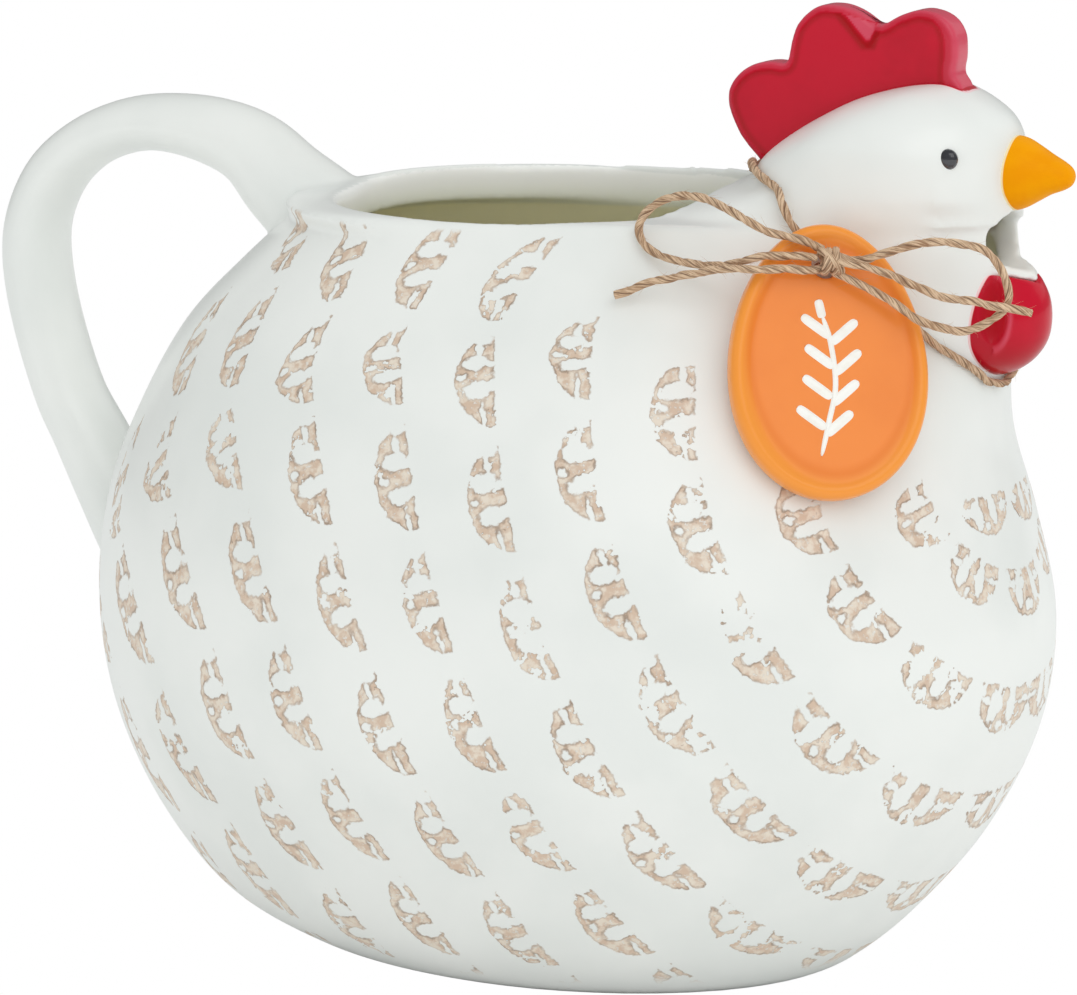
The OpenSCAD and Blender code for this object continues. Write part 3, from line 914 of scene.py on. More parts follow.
@dataclass
class Pitcher:
    """The white body with its neck, head, lip and handle, all under one glaze."""

    mouth_l: float = 99.0
    mouth_w: float = 97.0
    mouth_back: float = 20.5
    spout_w: float = 17.0
    spout_h: float = 12.0
    spout_at: float = 167.0
    handle_t: float = 14.0
    handle_w: float = 20.0
    # Along the handle: x as a share of the body, z as a share of the rim, its thickness and width
    handle_rows: Table = (
        (-0.300, 0.940, 1.70, 1.45),
        (-0.345, 0.985, 1.60, 1.32),
        (-0.383, 1.024, 1.44, 1.20),
        (-0.420, 1.068, 1.24, 1.06),
        (-0.467, 1.091, 1.10, 1.00),
        (-0.522, 1.099, 0.95, 1.00),
        (-0.568, 1.090, 0.90, 1.00),
        (-0.613, 1.063, 0.90, 1.00),
        (-0.650, 1.018, 0.96, 1.00),
        (-0.672, 0.956, 1.00, 1.00),
        (-0.675, 0.892, 1.06, 1.00),
        (-0.663, 0.808, 1.07, 1.00),
        (-0.639, 0.713, 1.09, 1.00),
        (-0.616, 0.657, 1.15, 1.02),
        (-0.586, 0.588, 1.28, 1.12),
        (-0.548, 0.515, 1.55, 1.30),
        (-0.510, 0.455, 1.75, 1.45),
    )
    # How far the rim's lip hangs down inside, and the height of its crest at angles round the
    # mouth, in degrees from the head to the left side
    rim_deep: float = 8.6
    rim_crest: Table = (
        (0, 178.4), (14, 176.5), (22, 175.4), (32, 174.6), (50, 173.2), (70, 171.7), (84, 170.9),
        (101, 170.4), (128, 170.6), (146, 171.0), (180, 170.4), (236, 170.4), (246, 170.0),
        (265, 169.8), (284, 170.3), (309, 170.1), (320, 170.3), (328, 171.7), (338, 174.3),
        (346, 176.1), (360, 178.4),
    )
    # The middle and the reach of the stretch where the mouth's tail end is flatter than an
    # ellipse, in degrees, and by how much
    flat: tuple[float, float, float] = (192, 25, 5.5)
    crease_z: float = 171.5
    steps: int = 8
    marks: FeatherMarks = field(default_factory=FeatherMarks)
    bulge: Bulge = field(default_factory=Bulge)

    def build(self) -> Piece:
        """Makes the body.

        Returns:
            The body, dressed.
        """
        rows = SKIN.levels(self.steps)
        body = loft("pitcher_body", SKIN.rings(rows, 240))
        handle = self.handle()
        hollow = loft("tool_hollow", SKIN.rings(SKIN.hollow(self.steps, SKIN.wall), 240))
        lip = self.bulge.lip()
        roll = self.roll()
        deep = 3 * SKIN.wall
        mouth = cylinder(
            "tool_mouth",
            (-self.mouth_back, 0, SKIN.rim - deep),
            (self.mouth_l / 2, 0, 0),
            (0, self.mouth_w / 2, 0),
            (0, 0, SKIN.head + deep),
        )
        spout = cylinder(
            "tool_spout",
            (SKIN.neck_x, 0, self.spout_at),
            (0, self.spout_w / 2, 0),
            (0, 0, self.spout_h / 2),
            (SKIN.neck_l, 0, 0),
        )
        carve(
            body,
            (Carve.JOIN, handle),
            (Carve.JOIN, lip),
            (Carve.CUT, hollow),
            (Carve.CUT, mouth),
            (Carve.JOIN, roll),
            (Carve.CUT, spout),
        )
        soften(body, 0.9, 10, 190000)
        self.ease_neck(body)
        self.measure(body, rows)
        return dress(body, self.glaze(), Slot.WHITE, Body.PITCHER, "body_shell", "handle")

    def ease_neck(self, body: Piece) -> None:
        """Smooths the crease where the neck leaves the rim, on the outer skin alone.

        Args:
            body: the body.
        """
        points, shades = vertices(body), 8
        x, back, front_end = points[:, 0], SKIN.neck_x - 27, SKIN.neck_x + 16
        front = np.clip((x - back) / 8, 0, 1) * np.clip((front_end - x) / 6, 0, 1)
        level = np.clip((16 - np.abs(points[:, 2] - self.crease_z)) / 6, 0, 1)
        outer = np.clip(3 * normals(body)[:, 1] * np.sign(points[:, 1]) + 0.3, 0, 1)
        weight = front * level * outer
        group = body.vertex_groups.new(name="neck")
        for step in range(1, shades + 1):
            chosen = np.nonzero(np.round(weight * shades) == step)[0]
            group.add(chosen.tolist(), step / shades, "REPLACE")
        modify(body, "SMOOTH", factor=0.5, iterations=150, vertex_group="neck")
        settle(body)

    def measure(self, body: Piece, rows: np.ndarray) -> None:
        """Stores what the glaze needs to know at each vertex.

        Args:
            body: the body.
            rows: the skin's levels.
        """
        points = vertices(body)
        names = ("mark_row", "mark_turn", "breast_along", "breast_across")
        for name, values in zip(names, self.marks.coordinates(points) + self.marks.breast(points)):
            store(body, name, values)
        depth = SKIN.depth(points, rows)
        x, y, z = points.T
        angle = np.arctan2(y / self.mouth_w, (x + self.mouth_back) / self.mouth_l) % (2 * math.pi)
        sunk = self.crest(angle) - z
        # The spout's inner wall takes the rim's pale lining: painted light that brightens its shaded inside
        spout_painted_light = np.clip((x - SKIN.neck_x - 19) / 6, 0, 1) * np.clip((z - 146) / 8, 0, 1)
        sunk += spout_painted_light * (4.0 - sunk)
        # The eased neck lies a little under the skin's levels
        limit = 0.985 - 0.06 * np.clip((x - 32) / 12, 0, 1) * np.clip((z - 152) / 6, 0, 1)
        store(body, "inside", np.clip((limit - depth) / 0.02, 0, 1))
        store(body, "sunk", np.clip(sunk, 0, 60))
        store(body, "plain", np.clip((np.abs(depth - 1.0) - 0.035) / 0.02, 0, 1))

    def crest(self, angle: np.ndarray) -> np.ndarray:
        """The height of the rim's crest at angles round the mouth, in radians."""
        table = np.array(self.rim_crest, float)
        return np.interp(np.degrees(angle), table[:, 0], table[:, 1])

    def roll(self) -> Piece:
        """Makes the thick lip round the mouth, with a rounded crest and a skirt that hangs down inside.

        Returns:
            The lip's solid, to be joined to the body.
        """
        a = round_angles(120)
        top = self.crest(a) + 0.5
        for _ in range(6):
            top = (np.roll(top, 1) + 2 * top + np.roll(top, -1)) / 4
        middle, spread, size = self.flat
        flat = size * np.exp(-(((np.degrees(a) - middle) / spread) ** 2))
        # How far out from the mouth's edge and how far over the crest each corner lies
        section = (
            (0.15, -0.6), (0.8, 0.0), (1.6, -0.2), (2.3, -1.0), (2.9, -2.4), (3.3, -4.5),
            (4.5, -self.rim_deep), (-0.15, -self.rim_deep), (-0.15, -1.5),
        )
        corners = []
        for away, down in section:
            out = away - flat * np.clip(1 - away / 3.3, 0, 1)
            x = (self.mouth_l / 2 + out) * np.cos(a) - self.mouth_back
            corners.append(np.stack([x, (self.mouth_w / 2 + out) * np.sin(a), top + down], axis=1))
        return loft("tool_roll", np.stack(corners, axis=1), Region.ENDLESS)

    def handle(self) -> Piece:
        """Makes the handle, whose ends reach into the wall.

        Returns:
            The handle's solid, to be joined to the body.
        """
        rows = smooth_rows(self.handle_rows, 6)[::-1]
        centre = np.stack([rows[:, 0] * SKIN.length, 0 * rows[:, 0], rows[:, 1] * SKIN.rim], axis=1)
        run = np.gradient(centre, axis=0)
        run /= np.linalg.norm(run, axis=1, keepdims=True)
        across = np.stack([run[:, 2], 0 * run[:, 0], -run[:, 0]], axis=1)
        a = round_angles(48)
        thick = (rows[:, 2] * self.handle_t / 2)[:, None, None]
        rings = centre[:, None] + across[:, None] * thick * np.cos(a)[None, :, None]
        rings[:, :, 1] += (rows[:, 3] * self.handle_w / 2)[:, None] * np.sin(a)[None]
        return loft("tool_handle", rings)

    def glaze(self) -> bpy.types.Material:
        """Makes the satin white glaze with its stamped brown marks, and a lining with painted light and
        shade: white at the rim, greyer down the lip's inner face, and a cream tint for the shaded inside.

        Returns:
            The material.
        """
        material, g = WHITE_GLAZE.start()
        add = g.add
        place = add(Op.PLACE)
        names = (
            "mark_row", "mark_turn", "breast_along", "breast_across",
            "inside", "sunk", "plain", "past_red",
        )
        *stored, inside, sunk, plain, past = (add(Op.STORED, attribute_name=name) for name in names)
        bare = add(Op.TIMES, add(Op.MINUS, 1.0, plain), add(Op.STEP, sunk, 0.8, 2.2))
        fill, edge = MarkShader(g, self.marks).build(place, stored, bare)
        # The glaze is a little thicker in clouds of about 35 mm
        cloud = add(Op.STEP, add(Op.NOISE, place, grain(35.714), 3), 0.35, 0.7)
        colour = add(Op.BLEND, cloud, WHITE_GLAZE.colour, "ECEEEB")
        # The brown wash gathers in grains of 2 to 3 mm
        wash = add(Op.STEP, add(Op.NOISE, place, grain(2.381), 3, 0.6), 0.38, 0.62)
        colour = add(Op.BLEND, fill, colour, add(Op.BLEND, wash, "ECDFCF", "D9BFA9"))
        rust = add(Op.STEP, add(Op.NOISE, place, grain(2.381), 2), 0.4, 0.62)
        colour = add(Op.BLEND, edge, colour, add(Op.BLEND, rust, "C4AE9C", "9C8674"))
        # Painted light and shade on the lining: white at the rim, greyer down to the lip's lower edge, then a
        # cream tint that stands in for the shaded inside of the mouth
        shade = add(Op.BLEND, add(Op.STEP, sunk, 2.0, self.rim_deep), "FFFFFC", "ECEEE0")
        below = add(Op.STEP, sunk, self.rim_deep - 0.2, self.rim_deep + 0.9)
        shade = add(Op.BLEND, below, shade, "FCF8DA")
        colour = add(Op.BLEND, add(Op.STEP, inside, 0.35, 0.9), colour, shade)
        # The comb's red runs down over the skin and ends in a thin pink seam, partly the glaze's thin edge
        # and partly a painted highlight on its raised edge
        colour = add(Op.BLEND, add(Op.STEP, past, 0.35, 0.6), "FFDDE0", colour)
        colour = add(Op.BLEND, add(Op.STEP, past, 0.0, 0.2), RED_GLAZE.colour, colour)
        rough = add(Op.PLUS, add(Op.TIMES, add(Op.NOISE, place, grain(16.667), 2), 0.10), 0.31)
        rough = add(Op.PLUS, rough, add(Op.TIMES, fill, 0.15), use_clamp=True)
        # Hand-thrown waves of about 22 mm, and marks that are pressed in by a third of a millimetre
        wave = add(Op.BUMP, Height=add(Op.NOISE, place, grain(22.222), 2), Distance=0.6 * MM, Strength=0.5)
        press = add(Op.TIMES, fill, -1.0)
        normal = add(Op.BUMP, Height=press, Distance=0.3 * MM, Strength=0.6, Normal=wave)
        WHITE_GLAZE.close(g, {"Base Color": colour, "Roughness": rough, "Normal": normal})
        return material


def gloss(
    finish: Finish, pooled: str, pool: float, seam: str = "", pale: str = "", deep: str = ""
) -> bpy.types.Material:
    """A gloss glaze that pools darker in places.

    Args:
        finish: the glaze.
        pooled: its colour where it pools.
        pool: the size of a pool in millimetres.
        seam: the colour of the thin line where the glaze ends on the white, if there is one; partly the
            glaze's thin edge and partly a painted highlight on its raised edge.
        pale: its painted highlight colour, where the piece's "painted_light" is 1, if it has painted light
            and shade.
        deep: its painted shade colour, where the piece's "painted_light" is -1.

    Returns:
        The material.
    """
    material, g = finish.start()
    add = g.add
    place = add(Op.PLACE)
    cloud = add(Op.STEP, add(Op.NOISE, place, grain(pool), 3, 0.6), 0.42, 0.7, 0.0, 0.45)
    colour = add(Op.BLEND, cloud, finish.colour, pooled)
    if pale:
        # Painted highlight and painted shade from the piece's stored light: pale where it is 1, deep where it
        # is -1
        painted_light = add(Op.STORED, attribute_name="painted_light")
        colour = add(Op.BLEND, add(Op.TIMES, painted_light, -1.0, use_clamp=True), colour, deep)
        colour = add(Op.BLEND, add(Op.TIMES, painted_light, 1.0, use_clamp=True), colour, pale)
    # The pale seam is partly the glaze's thin edge and partly a painted highlight
    if seam:
        past = add(Op.STEP, add(Op.STORED, attribute_name="off_skin"), 0.3, 0.5)
        colour = add(Op.BLEND, past, seam, colour)
    # Brush waves of about 8 mm under the glass
    normal = add(Op.BUMP, Height=add(Op.NOISE, place, grain(8.333), 2), Distance=0.5 * MM, Strength=0.3)
    finish.close(g, {"Base Color": colour, "Normal": normal, "Coat Normal": normal})
    return material


@dataclass
class Comb:
    """The comb with its rounded lobes, as a side view with a thickness."""

    length: float = 56.0
    height: float = 34.0
    thick: float = 8.0
    # Shares of the length and the height, round the side view
    outline: Table = (
        (0.13, 0.00), (0.05, 0.15), (0.00, 0.36), (0.03, 0.50), (0.10, 0.59), (0.18, 0.62),
        (0.25, 0.62), (0.27, 0.75), (0.30, 0.88), (0.38, 0.99), (0.47, 1.00), (0.55, 0.96),
        (0.64, 0.89), (0.73, 0.96), (0.82, 1.00), (0.91, 0.96), (0.96, 0.86), (0.97, 0.72),
        (0.96, 0.60), (0.99, 0.52), (0.99, 0.34), (0.70, 0.14), (0.40, -0.08), (0.22, -0.14),
    )
    # The corners of the facet below the notch between the two front lobes, which is given a painted highlight
    facet: Table = ((0.490, 0.964), (0.590, 0.788), (0.606, 0.789), (0.619, 0.842), (0.622, 0.898))
    notch: tuple[float, float] = (0.600, 0.74)
    notch_deep: float = 1.5

    @property
    def origin(self) -> np.ndarray:
        """Where the side view starts, in x and z."""
        return np.array([SKIN.neck_x - 0.655 * SKIN.neck_l, SKIN.rim + 0.48 * SKIN.head])

    def build(self) -> Piece:
        """Makes the comb.

        Returns:
            The comb, with its painted light and shade stored.
        """
        size = np.array([self.length, self.height])
        flat = self.origin + smooth_rows(self.outline, 8, closed=True) * size
        sides = (self.thick / 2, -self.thick / 2)
        rings = np.stack([np.stack([flat[:, 0], 0 * flat[:, 0] + y, flat[:, 1]], axis=1) for y in sides])
        obj = loft("comb_visual", rings)
        soften(obj, 0.45, 30, 60000)
        points = vertices(obj)
        store(obj, "painted_light", self.painted_light(points[:, [0, 2]], flat))
        points[:, 1] -= np.sign(points[:, 1]) * self.dent(points[:, [0, 2]])
        move_to(obj, points)
        return obj

    def painted_light(self, flat: np.ndarray, outline: np.ndarray) -> np.ndarray:
        """Painted light and shade on the comb: a painted highlight on its rounded edges and on the facet
        below the notch (1), and painted shade in a band inside the edge and along the crease round the facet
        (-1).

        Args:
            flat: the comb's vertices in x and z.
            outline: the corners of its side view.

        Returns:
            A number for each vertex.
        """
        edge = np.hypot(*(flat[:, None] - outline[None]).transpose(2, 0, 1)).min(axis=1)
        share = (flat[:, 0] - outline[:, 0].min()) / self.length
        # The painted edge light is wider towards the front end, where the side turns away from the light
        edge = edge / (1 + 1.0 * np.clip((share - 0.87) / 0.06, 0, 1))
        painted_light = np.interp(edge, (0.0, 0.4, 0.7, 1.4, 1.8, 2.4, 3.1), (0.75, 0.6, 0.28, 0.18, -0.65, -0.5, 0.0))
        corners = self.origin + np.array(self.facet) * (self.length, self.height)
        inside = np.full(len(flat), 99.0)
        for a, b in zip(corners, np.roll(corners, -1, axis=0)):
            run = (b - a) / np.hypot(*(b - a))
            inside = np.minimum(inside, run[0] * (flat[:, 1] - a[1]) - run[1] * (flat[:, 0] - a[0]))
        # Painted shade along the crease round the facet
        crease_shade = np.interp(inside, (-2.3, -1.5, -0.4, 0.0), (0.0, -0.9, -0.9, 0.0))
        painted_light = np.where((inside < 0) & (edge > 1.4), np.minimum(painted_light, crease_shade), painted_light)
        return np.where(inside > 0, np.clip(inside / 0.3, 0, 1) * 0.75, painted_light)

    def dent(self, flat: np.ndarray) -> np.ndarray:
        """How deep the comb's side is pressed in below the notch.

        Args:
            flat: the comb's vertices in x and z.

        Returns:
            A depth for each vertex.
        """
        x, z = (flat - (self.origin + np.array(self.notch) * (self.length, self.height))).T
        wedge = np.interp(np.degrees(np.arctan2(z, x)), (58, 72, 80, 122, 132), (0.0, 1.0, 1.0, 0.2, 0.0))
        return self.notch_deep * wedge * np.clip(np.hypot(x, z) / 6.0, 0, 1)

    @staticmethod
    def run_down(body: Piece, comb: Piece) -> None:
        """Stores how far the head's skin lies from the edge of the red that runs down from the comb.

        Args:
            body: the body, which keeps the distance.
            comb: the comb.
        """
        points, none = vertices(body), 9.0
        faces = [list(face.vertices) for face in comb.data.polygons]
        tree = BVHTree.FromPolygons(vertices(comb).tolist(), faces)
        near = np.full(len(points), none)
        for index in np.nonzero((points[:, 2] > 176) & (points[:, 0] > 15) & (np.abs(points[:, 1]) < 20))[0]:
            near[index] = tree.find_nearest(points[index], none)[3] or none
        width = np.interp(points[:, 0], (28, 45, 62, 78), (2.2, 2.2, 1.3, 0.7))
        store(body, "past_red", np.clip(near - width, -5, 5))


@dataclass
class Beak:
    """The blunt beak, as rings from its root to its tip."""

    reach: float = 39.8
    width: float = 15.0
    height: float = 17.0
    # The reach, the height on the head, the half height and the half width, as shares
    rows: Table = (
        (0.480, 0.475, 0.450, 0.46),
        (0.640, 0.466, 0.480, 0.49),
        (0.716, 0.469, 0.453, 0.47),
        (0.790, 0.470, 0.365, 0.40),
        (0.867, 0.469, 0.262, 0.31),
        (0.935, 0.463, 0.190, 0.24),
        (0.980, 0.460, 0.125, 0.16),
        (1.000, 0.460, 0.050, 0.07),
    )

    def build(self) -> Piece:
        """Makes the beak.

        Returns:
            The beak.
        """
        rows = smooth_rows(self.rows, 6)
        a = round_angles(64)[None]
        x = SKIN.neck_x + rows[:, 0, None] * self.reach + 0 * a
        y = rows[:, 3, None] * self.width * np.cos(a)
        z = SKIN.rim + rows[:, 1, None] * SKIN.head + rows[:, 2, None] * self.height * np.sin(a)
        obj = loft("beak_visual", np.stack([x, y, z], axis=2))
        soften(obj, 0.3, 5, 30000)
        return obj


@dataclass
class Eye:
    """A domed dot of charcoal glaze on one side of the head."""

    side: int
    name: str
    radius: float = 2.3
    dome: float = 1.55
    sunk: float = 0.5

    def build(self) -> Piece:
        """Makes the eye.

        Returns:
            The eye, set into the skin.
        """
        # The eye's level is halfway between the head's sixth and seventh rows
        rows = SKIN.levels(1)[len(SKIN.body_rows) :]
        row = (rows[5] + rows[6]) / 2
        x = SKIN.neck_x + 0.287 * SKIN.neck_l
        y = row[4] * math.sqrt(1 - ((x - row[2]) / (row[3] - row[2])) ** 2)
        centre = np.array([x, self.side * (y - self.sunk), SKIN.rim + 0.590 * SKIN.head])
        v = np.linspace(-0.999, 0.999, 24)[:, None]
        a = round_angles(32)[None]
        r = np.sqrt(1 - v * v)
        x, y = self.radius * r * np.cos(a), self.dome * r * np.sin(a)
        ball = np.stack([x, y, self.radius * v + 0 * a], axis=2)
        return loft(f"{self.name}_visual", ball + centre)


@dataclass
class HeadPieces:
    """The comb, the beak, the wattle and the eyes, each with its own glaze."""

    comb: Comb = field(default_factory=Comb)
    beak: Beak = field(default_factory=Beak)
    bulge: Bulge = field(default_factory=Bulge)
    eyes: tuple[Eye, ...] = (Eye(-1, "eye_right"), Eye(1, "eye_left"))

    def build(self, body: Piece) -> list[Piece]:
        """Makes all the head's pieces.

        Args:
            body: the body, which keeps where the comb's red runs down.

        Returns:
            The pieces.
        """
        # The red's pale colour is a painted highlight and its deep colour painted shade, set by each piece's
        # stored light
        red = gloss(RED_GLAZE, "B00A22", 16.667, "FFD9DC", "DC5A70", "A6060E")
        yellow = gloss(YELLOW_GLAZE, "F08E00", 11.111, "FFE9B8")
        charcoal = gloss(CHARCOAL_GLAZE, "26262B", 3.333)
        skin = SKIN.tree()
        comb = self.comb.build()
        self.comb.run_down(body, comb)
        # The comb has no seam of its own, since its red runs on over the skin
        store(comb, "off_skin", np.full(len(comb.data.vertices), 9.0))
        pieces = [dress(comb, red, Slot.RED, Body.PITCHER, "comb")]
        for piece, glaze, slot, node in (
            (self.bulge.wattle(), red, Slot.RED, "wattle"),
            (self.beak.build(), yellow, Slot.YELLOW, "beak"),
        ):
            store(piece, "off_skin", np.array([skin.find_nearest(point)[3] for point in vertices(piece)]))
            pieces.append(dress(piece, glaze, slot, Body.PITCHER, node))
        for eye in self.eyes:
            pieces.append(dress(eye.build(), charcoal, Slot.CHARCOAL, Body.PITCHER, eye.name))
        return pieces


@dataclass
class EggTag:
    """The glazed egg with its raised rim, its hole and a white sprig."""

    height: float = 59.2
    width: float = 43.2
    thick: float = 6.0
    sunk: float = 0.8
    hole_d: float = 6.0
    hole_in: float = 8.8
    turn: float = 38.0
    lean: float = 16.0
    taper: float = 0.10
    roll: float = -1.0
    # From the back edge over the rim to the face: how far in, and how high
    profile: Table = (
        (1.5, 0.0), (0.6, 0.25), (0.15, 0.8), (0.0, 1.7), (0.0, 3.6), (0.15, 4.6), (0.55, 5.4),
        (1.2, 5.9), (1.9, 6.0), (2.5, 5.85), (3.1, 5.5), (3.8, 5.28),
    )
    # How far in the face's own rings lie
    face_insets: tuple[float, float, float] = (4.8, 9.0, 18.0)
    stem: Table = ((-3.5, -41.0), (-1.5, -34.0), (0.5, -26.0), (0.0, -17.0), (-1.5, -11.0))
    # Where each pair of leaves leaves the stem
    leaves: Table = ((-2.2, -36.5), (-0.5, -30.0), (0.4, -23.5), (0.0, -17.0))

    @property
    def face(self) -> float:
        """How high the sunk face lies over the back."""
        return self.thick - self.sunk

    def axes(self) -> tuple[np.ndarray, np.ndarray, np.ndarray, np.ndarray]:
        """Works out where the tag hangs, in millimetres.

        Returns:
            Its hole's back, its right, its up and its front.
        """
        turn, lean = math.radians(self.turn), math.radians(self.lean)
        front = np.array([math.sin(turn) * math.cos(lean), -math.cos(turn) * math.cos(lean), math.sin(lean)])
        right = np.array([math.cos(turn), math.sin(turn), 0.0])
        hole = np.array([SKIN.neck_x - 0.0627 * SKIN.neck_l, -0.1996 * SKIN.width, 0.9918 * SKIN.rim])
        return hole, right, np.cross(front, right), front

    def hang(self, points: np.ndarray) -> np.ndarray:
        """From the tag's frame to the pitcher's, in millimetres."""
        hole, right, up, front = self.axes()
        return hole + points[..., :1] * right + points[..., 1:2] * up + points[..., 2:3] * front

    def ring(self, inset: float, z: float) -> np.ndarray:
        """One level of the egg, in the tag's own frame.

        Args:
            inset: how far it is drawn in from the outline.
            z: its height over the back.

        Returns:
            A ring of points.
        """
        a = round_angles(160)
        x = (inset - self.width / 2) * np.sin(a) * (1 - self.taper * np.cos(a))
        y = (self.height / 2 - inset) * np.cos(a) + self.hole_in - self.height / 2
        c, s = math.cos(math.radians(self.roll)), math.sin(math.radians(self.roll))
        return np.stack([c * x - s * y, s * x + c * y, z + 0 * x], axis=1)

    def build(self) -> list[Piece]:
        """Makes the tag and its sprig.

        Returns:
            Both pieces, dressed.
        """
        profile = [*self.profile, *((inset, self.face) for inset in self.face_insets)]
        obj = loft("egg_tag_visual", self.hang(np.stack([self.ring(inset, z) for inset, z in profile])))
        a, r = round_angles(48), self.hole_d / 2
        ends = (-1.0, self.thick + 1)
        bore = np.stack([np.stack([r * np.cos(a), r * np.sin(a), z + 0 * a], axis=1) for z in ends])
        carve(obj, (Carve.CUT, loft("tool_bore", self.hang(bore))))
        soften(obj, 0.35, 4, 120000)
        hole, right, up, _ = self.axes()
        away = vertices(obj) - hole
        x, y = away @ right, away @ up - self.hole_in + self.height / 2
        store(obj, "rim", np.hypot(x / (self.width / 2), y / (self.height / 2)))
        dress(obj, self.glaze(), Slot.ORANGE, Body.TAG, "egg_tag")
        sprig = self.sprig()
        return [obj, dress(sprig, gloss(WHITE_ENAMEL, "F4EDE0", 3.846), Slot.ORANGE, Body.TAG)]

    @staticmethod
    def glaze() -> bpy.types.Material:
        """Makes the orange gloss glaze, paler on the rim as a painted highlight and darker in the groove
        inside it.

        Returns:
            The material.
        """
        material, g = ORANGE_GLAZE.start()
        add = g.add
        place = add(Op.PLACE)
        out = add(Op.STORED, attribute_name="rim")
        groove = add(Op.TIMES, add(Op.STEP, out, 0.74, 0.83), add(Op.STEP, out, 0.84, 0.90, 1.0, 0.0))
        # Clouds of about 16 mm in the flooded face
        cloud = add(Op.STEP, add(Op.NOISE, place, grain(16.667), 3, 0.6), 0.35, 0.75, 0.0, 0.4)
        colour = add(Op.BLEND, cloud, "FA8F3E", "F08236")
        colour = add(Op.BLEND, add(Op.TIMES, groove, 0.6), colour, "EC7A1C")
        # A painted highlight: the raised rim is drawn paler
        colour = add(Op.BLEND, add(Op.STEP, out, 0.80, 0.94), colour, "FB9C3C")
        normal = add(Op.BUMP, Height=add(Op.NOISE, place, grain(9.091), 2), Distance=0.4 * MM, Strength=0.3)
        ORANGE_GLAZE.close(g, {"Base Color": colour, "Normal": normal, "Coat Normal": normal})
        return material

    def stroke(self, path: Table | list, width: float) -> tuple[np.ndarray, list]:
        """One trailed line of enamel with a rounded top.

        Args:
            path: the points that it runs through, on the tag's face.
            width: its width in the middle.

        Returns:
            Its points and its faces.
        """
        line = smooth_rows(path, 8)
        run = np.gradient(line, axis=0)
        run /= np.linalg.norm(run, axis=1, keepdims=True)
        side = np.stack([-run[:, 1], run[:, 0]], axis=1)
        n = len(line)
        taper = np.sqrt(np.clip(1 - np.abs(np.linspace(-1, 1, n)) ** 6, 0.05, 1)) * width / 2
        across = (-1.0, -0.6, 0.0, 0.6, 1.0)
        lanes = []
        for off in across:
            lift = self.face - 0.05 + 0.35 * math.sqrt(max(1 - off * off, 0))
            lanes.append(np.c_[line + side * off * taper[:, None], np.full(n, lift)])
        starts = [j * n + i for j in range(len(across) - 1) for i in range(n - 1)]
        return np.concatenate(lanes), [(a, a + 1, a + n + 1, a + n) for a in starts]

    def sprig(self) -> Piece:
        """Makes a generic sprig with leaves, trailed in white on the face.

        Returns:
            The sprig.
        """
        leaves = []
        for x, y in self.leaves:
            leaves += [(x, y, 38, 7.6, 2.3), (x, y + 1.4, 142, 7.6, 2.3)]
        leaves.append((-1.5, -11.5, 100, 4.0, 2.1))
        strokes = [self.stroke(self.stem, 1.3)]
        for x, y, angle, length, width in leaves:
            c, s = math.cos(math.radians(angle)), math.sin(math.radians(angle))
            path = [(x + c * length * t, y + s * length * t) for t in (0.0, 0.25, 0.5, 0.75, 1.0)]
            strokes.append(self.stroke(path, width))
        points, faces = np.zeros((0, 3)), []
        for own, own_faces in strokes:
            faces += [tuple(len(points) + k for k in face) for face in own_faces]
            points = np.concatenate([points, own])
        obj = mesh_object("egg_tag_sprig", self.hang(points) * MM, faces)
        obj.data.shade_smooth()
        return obj


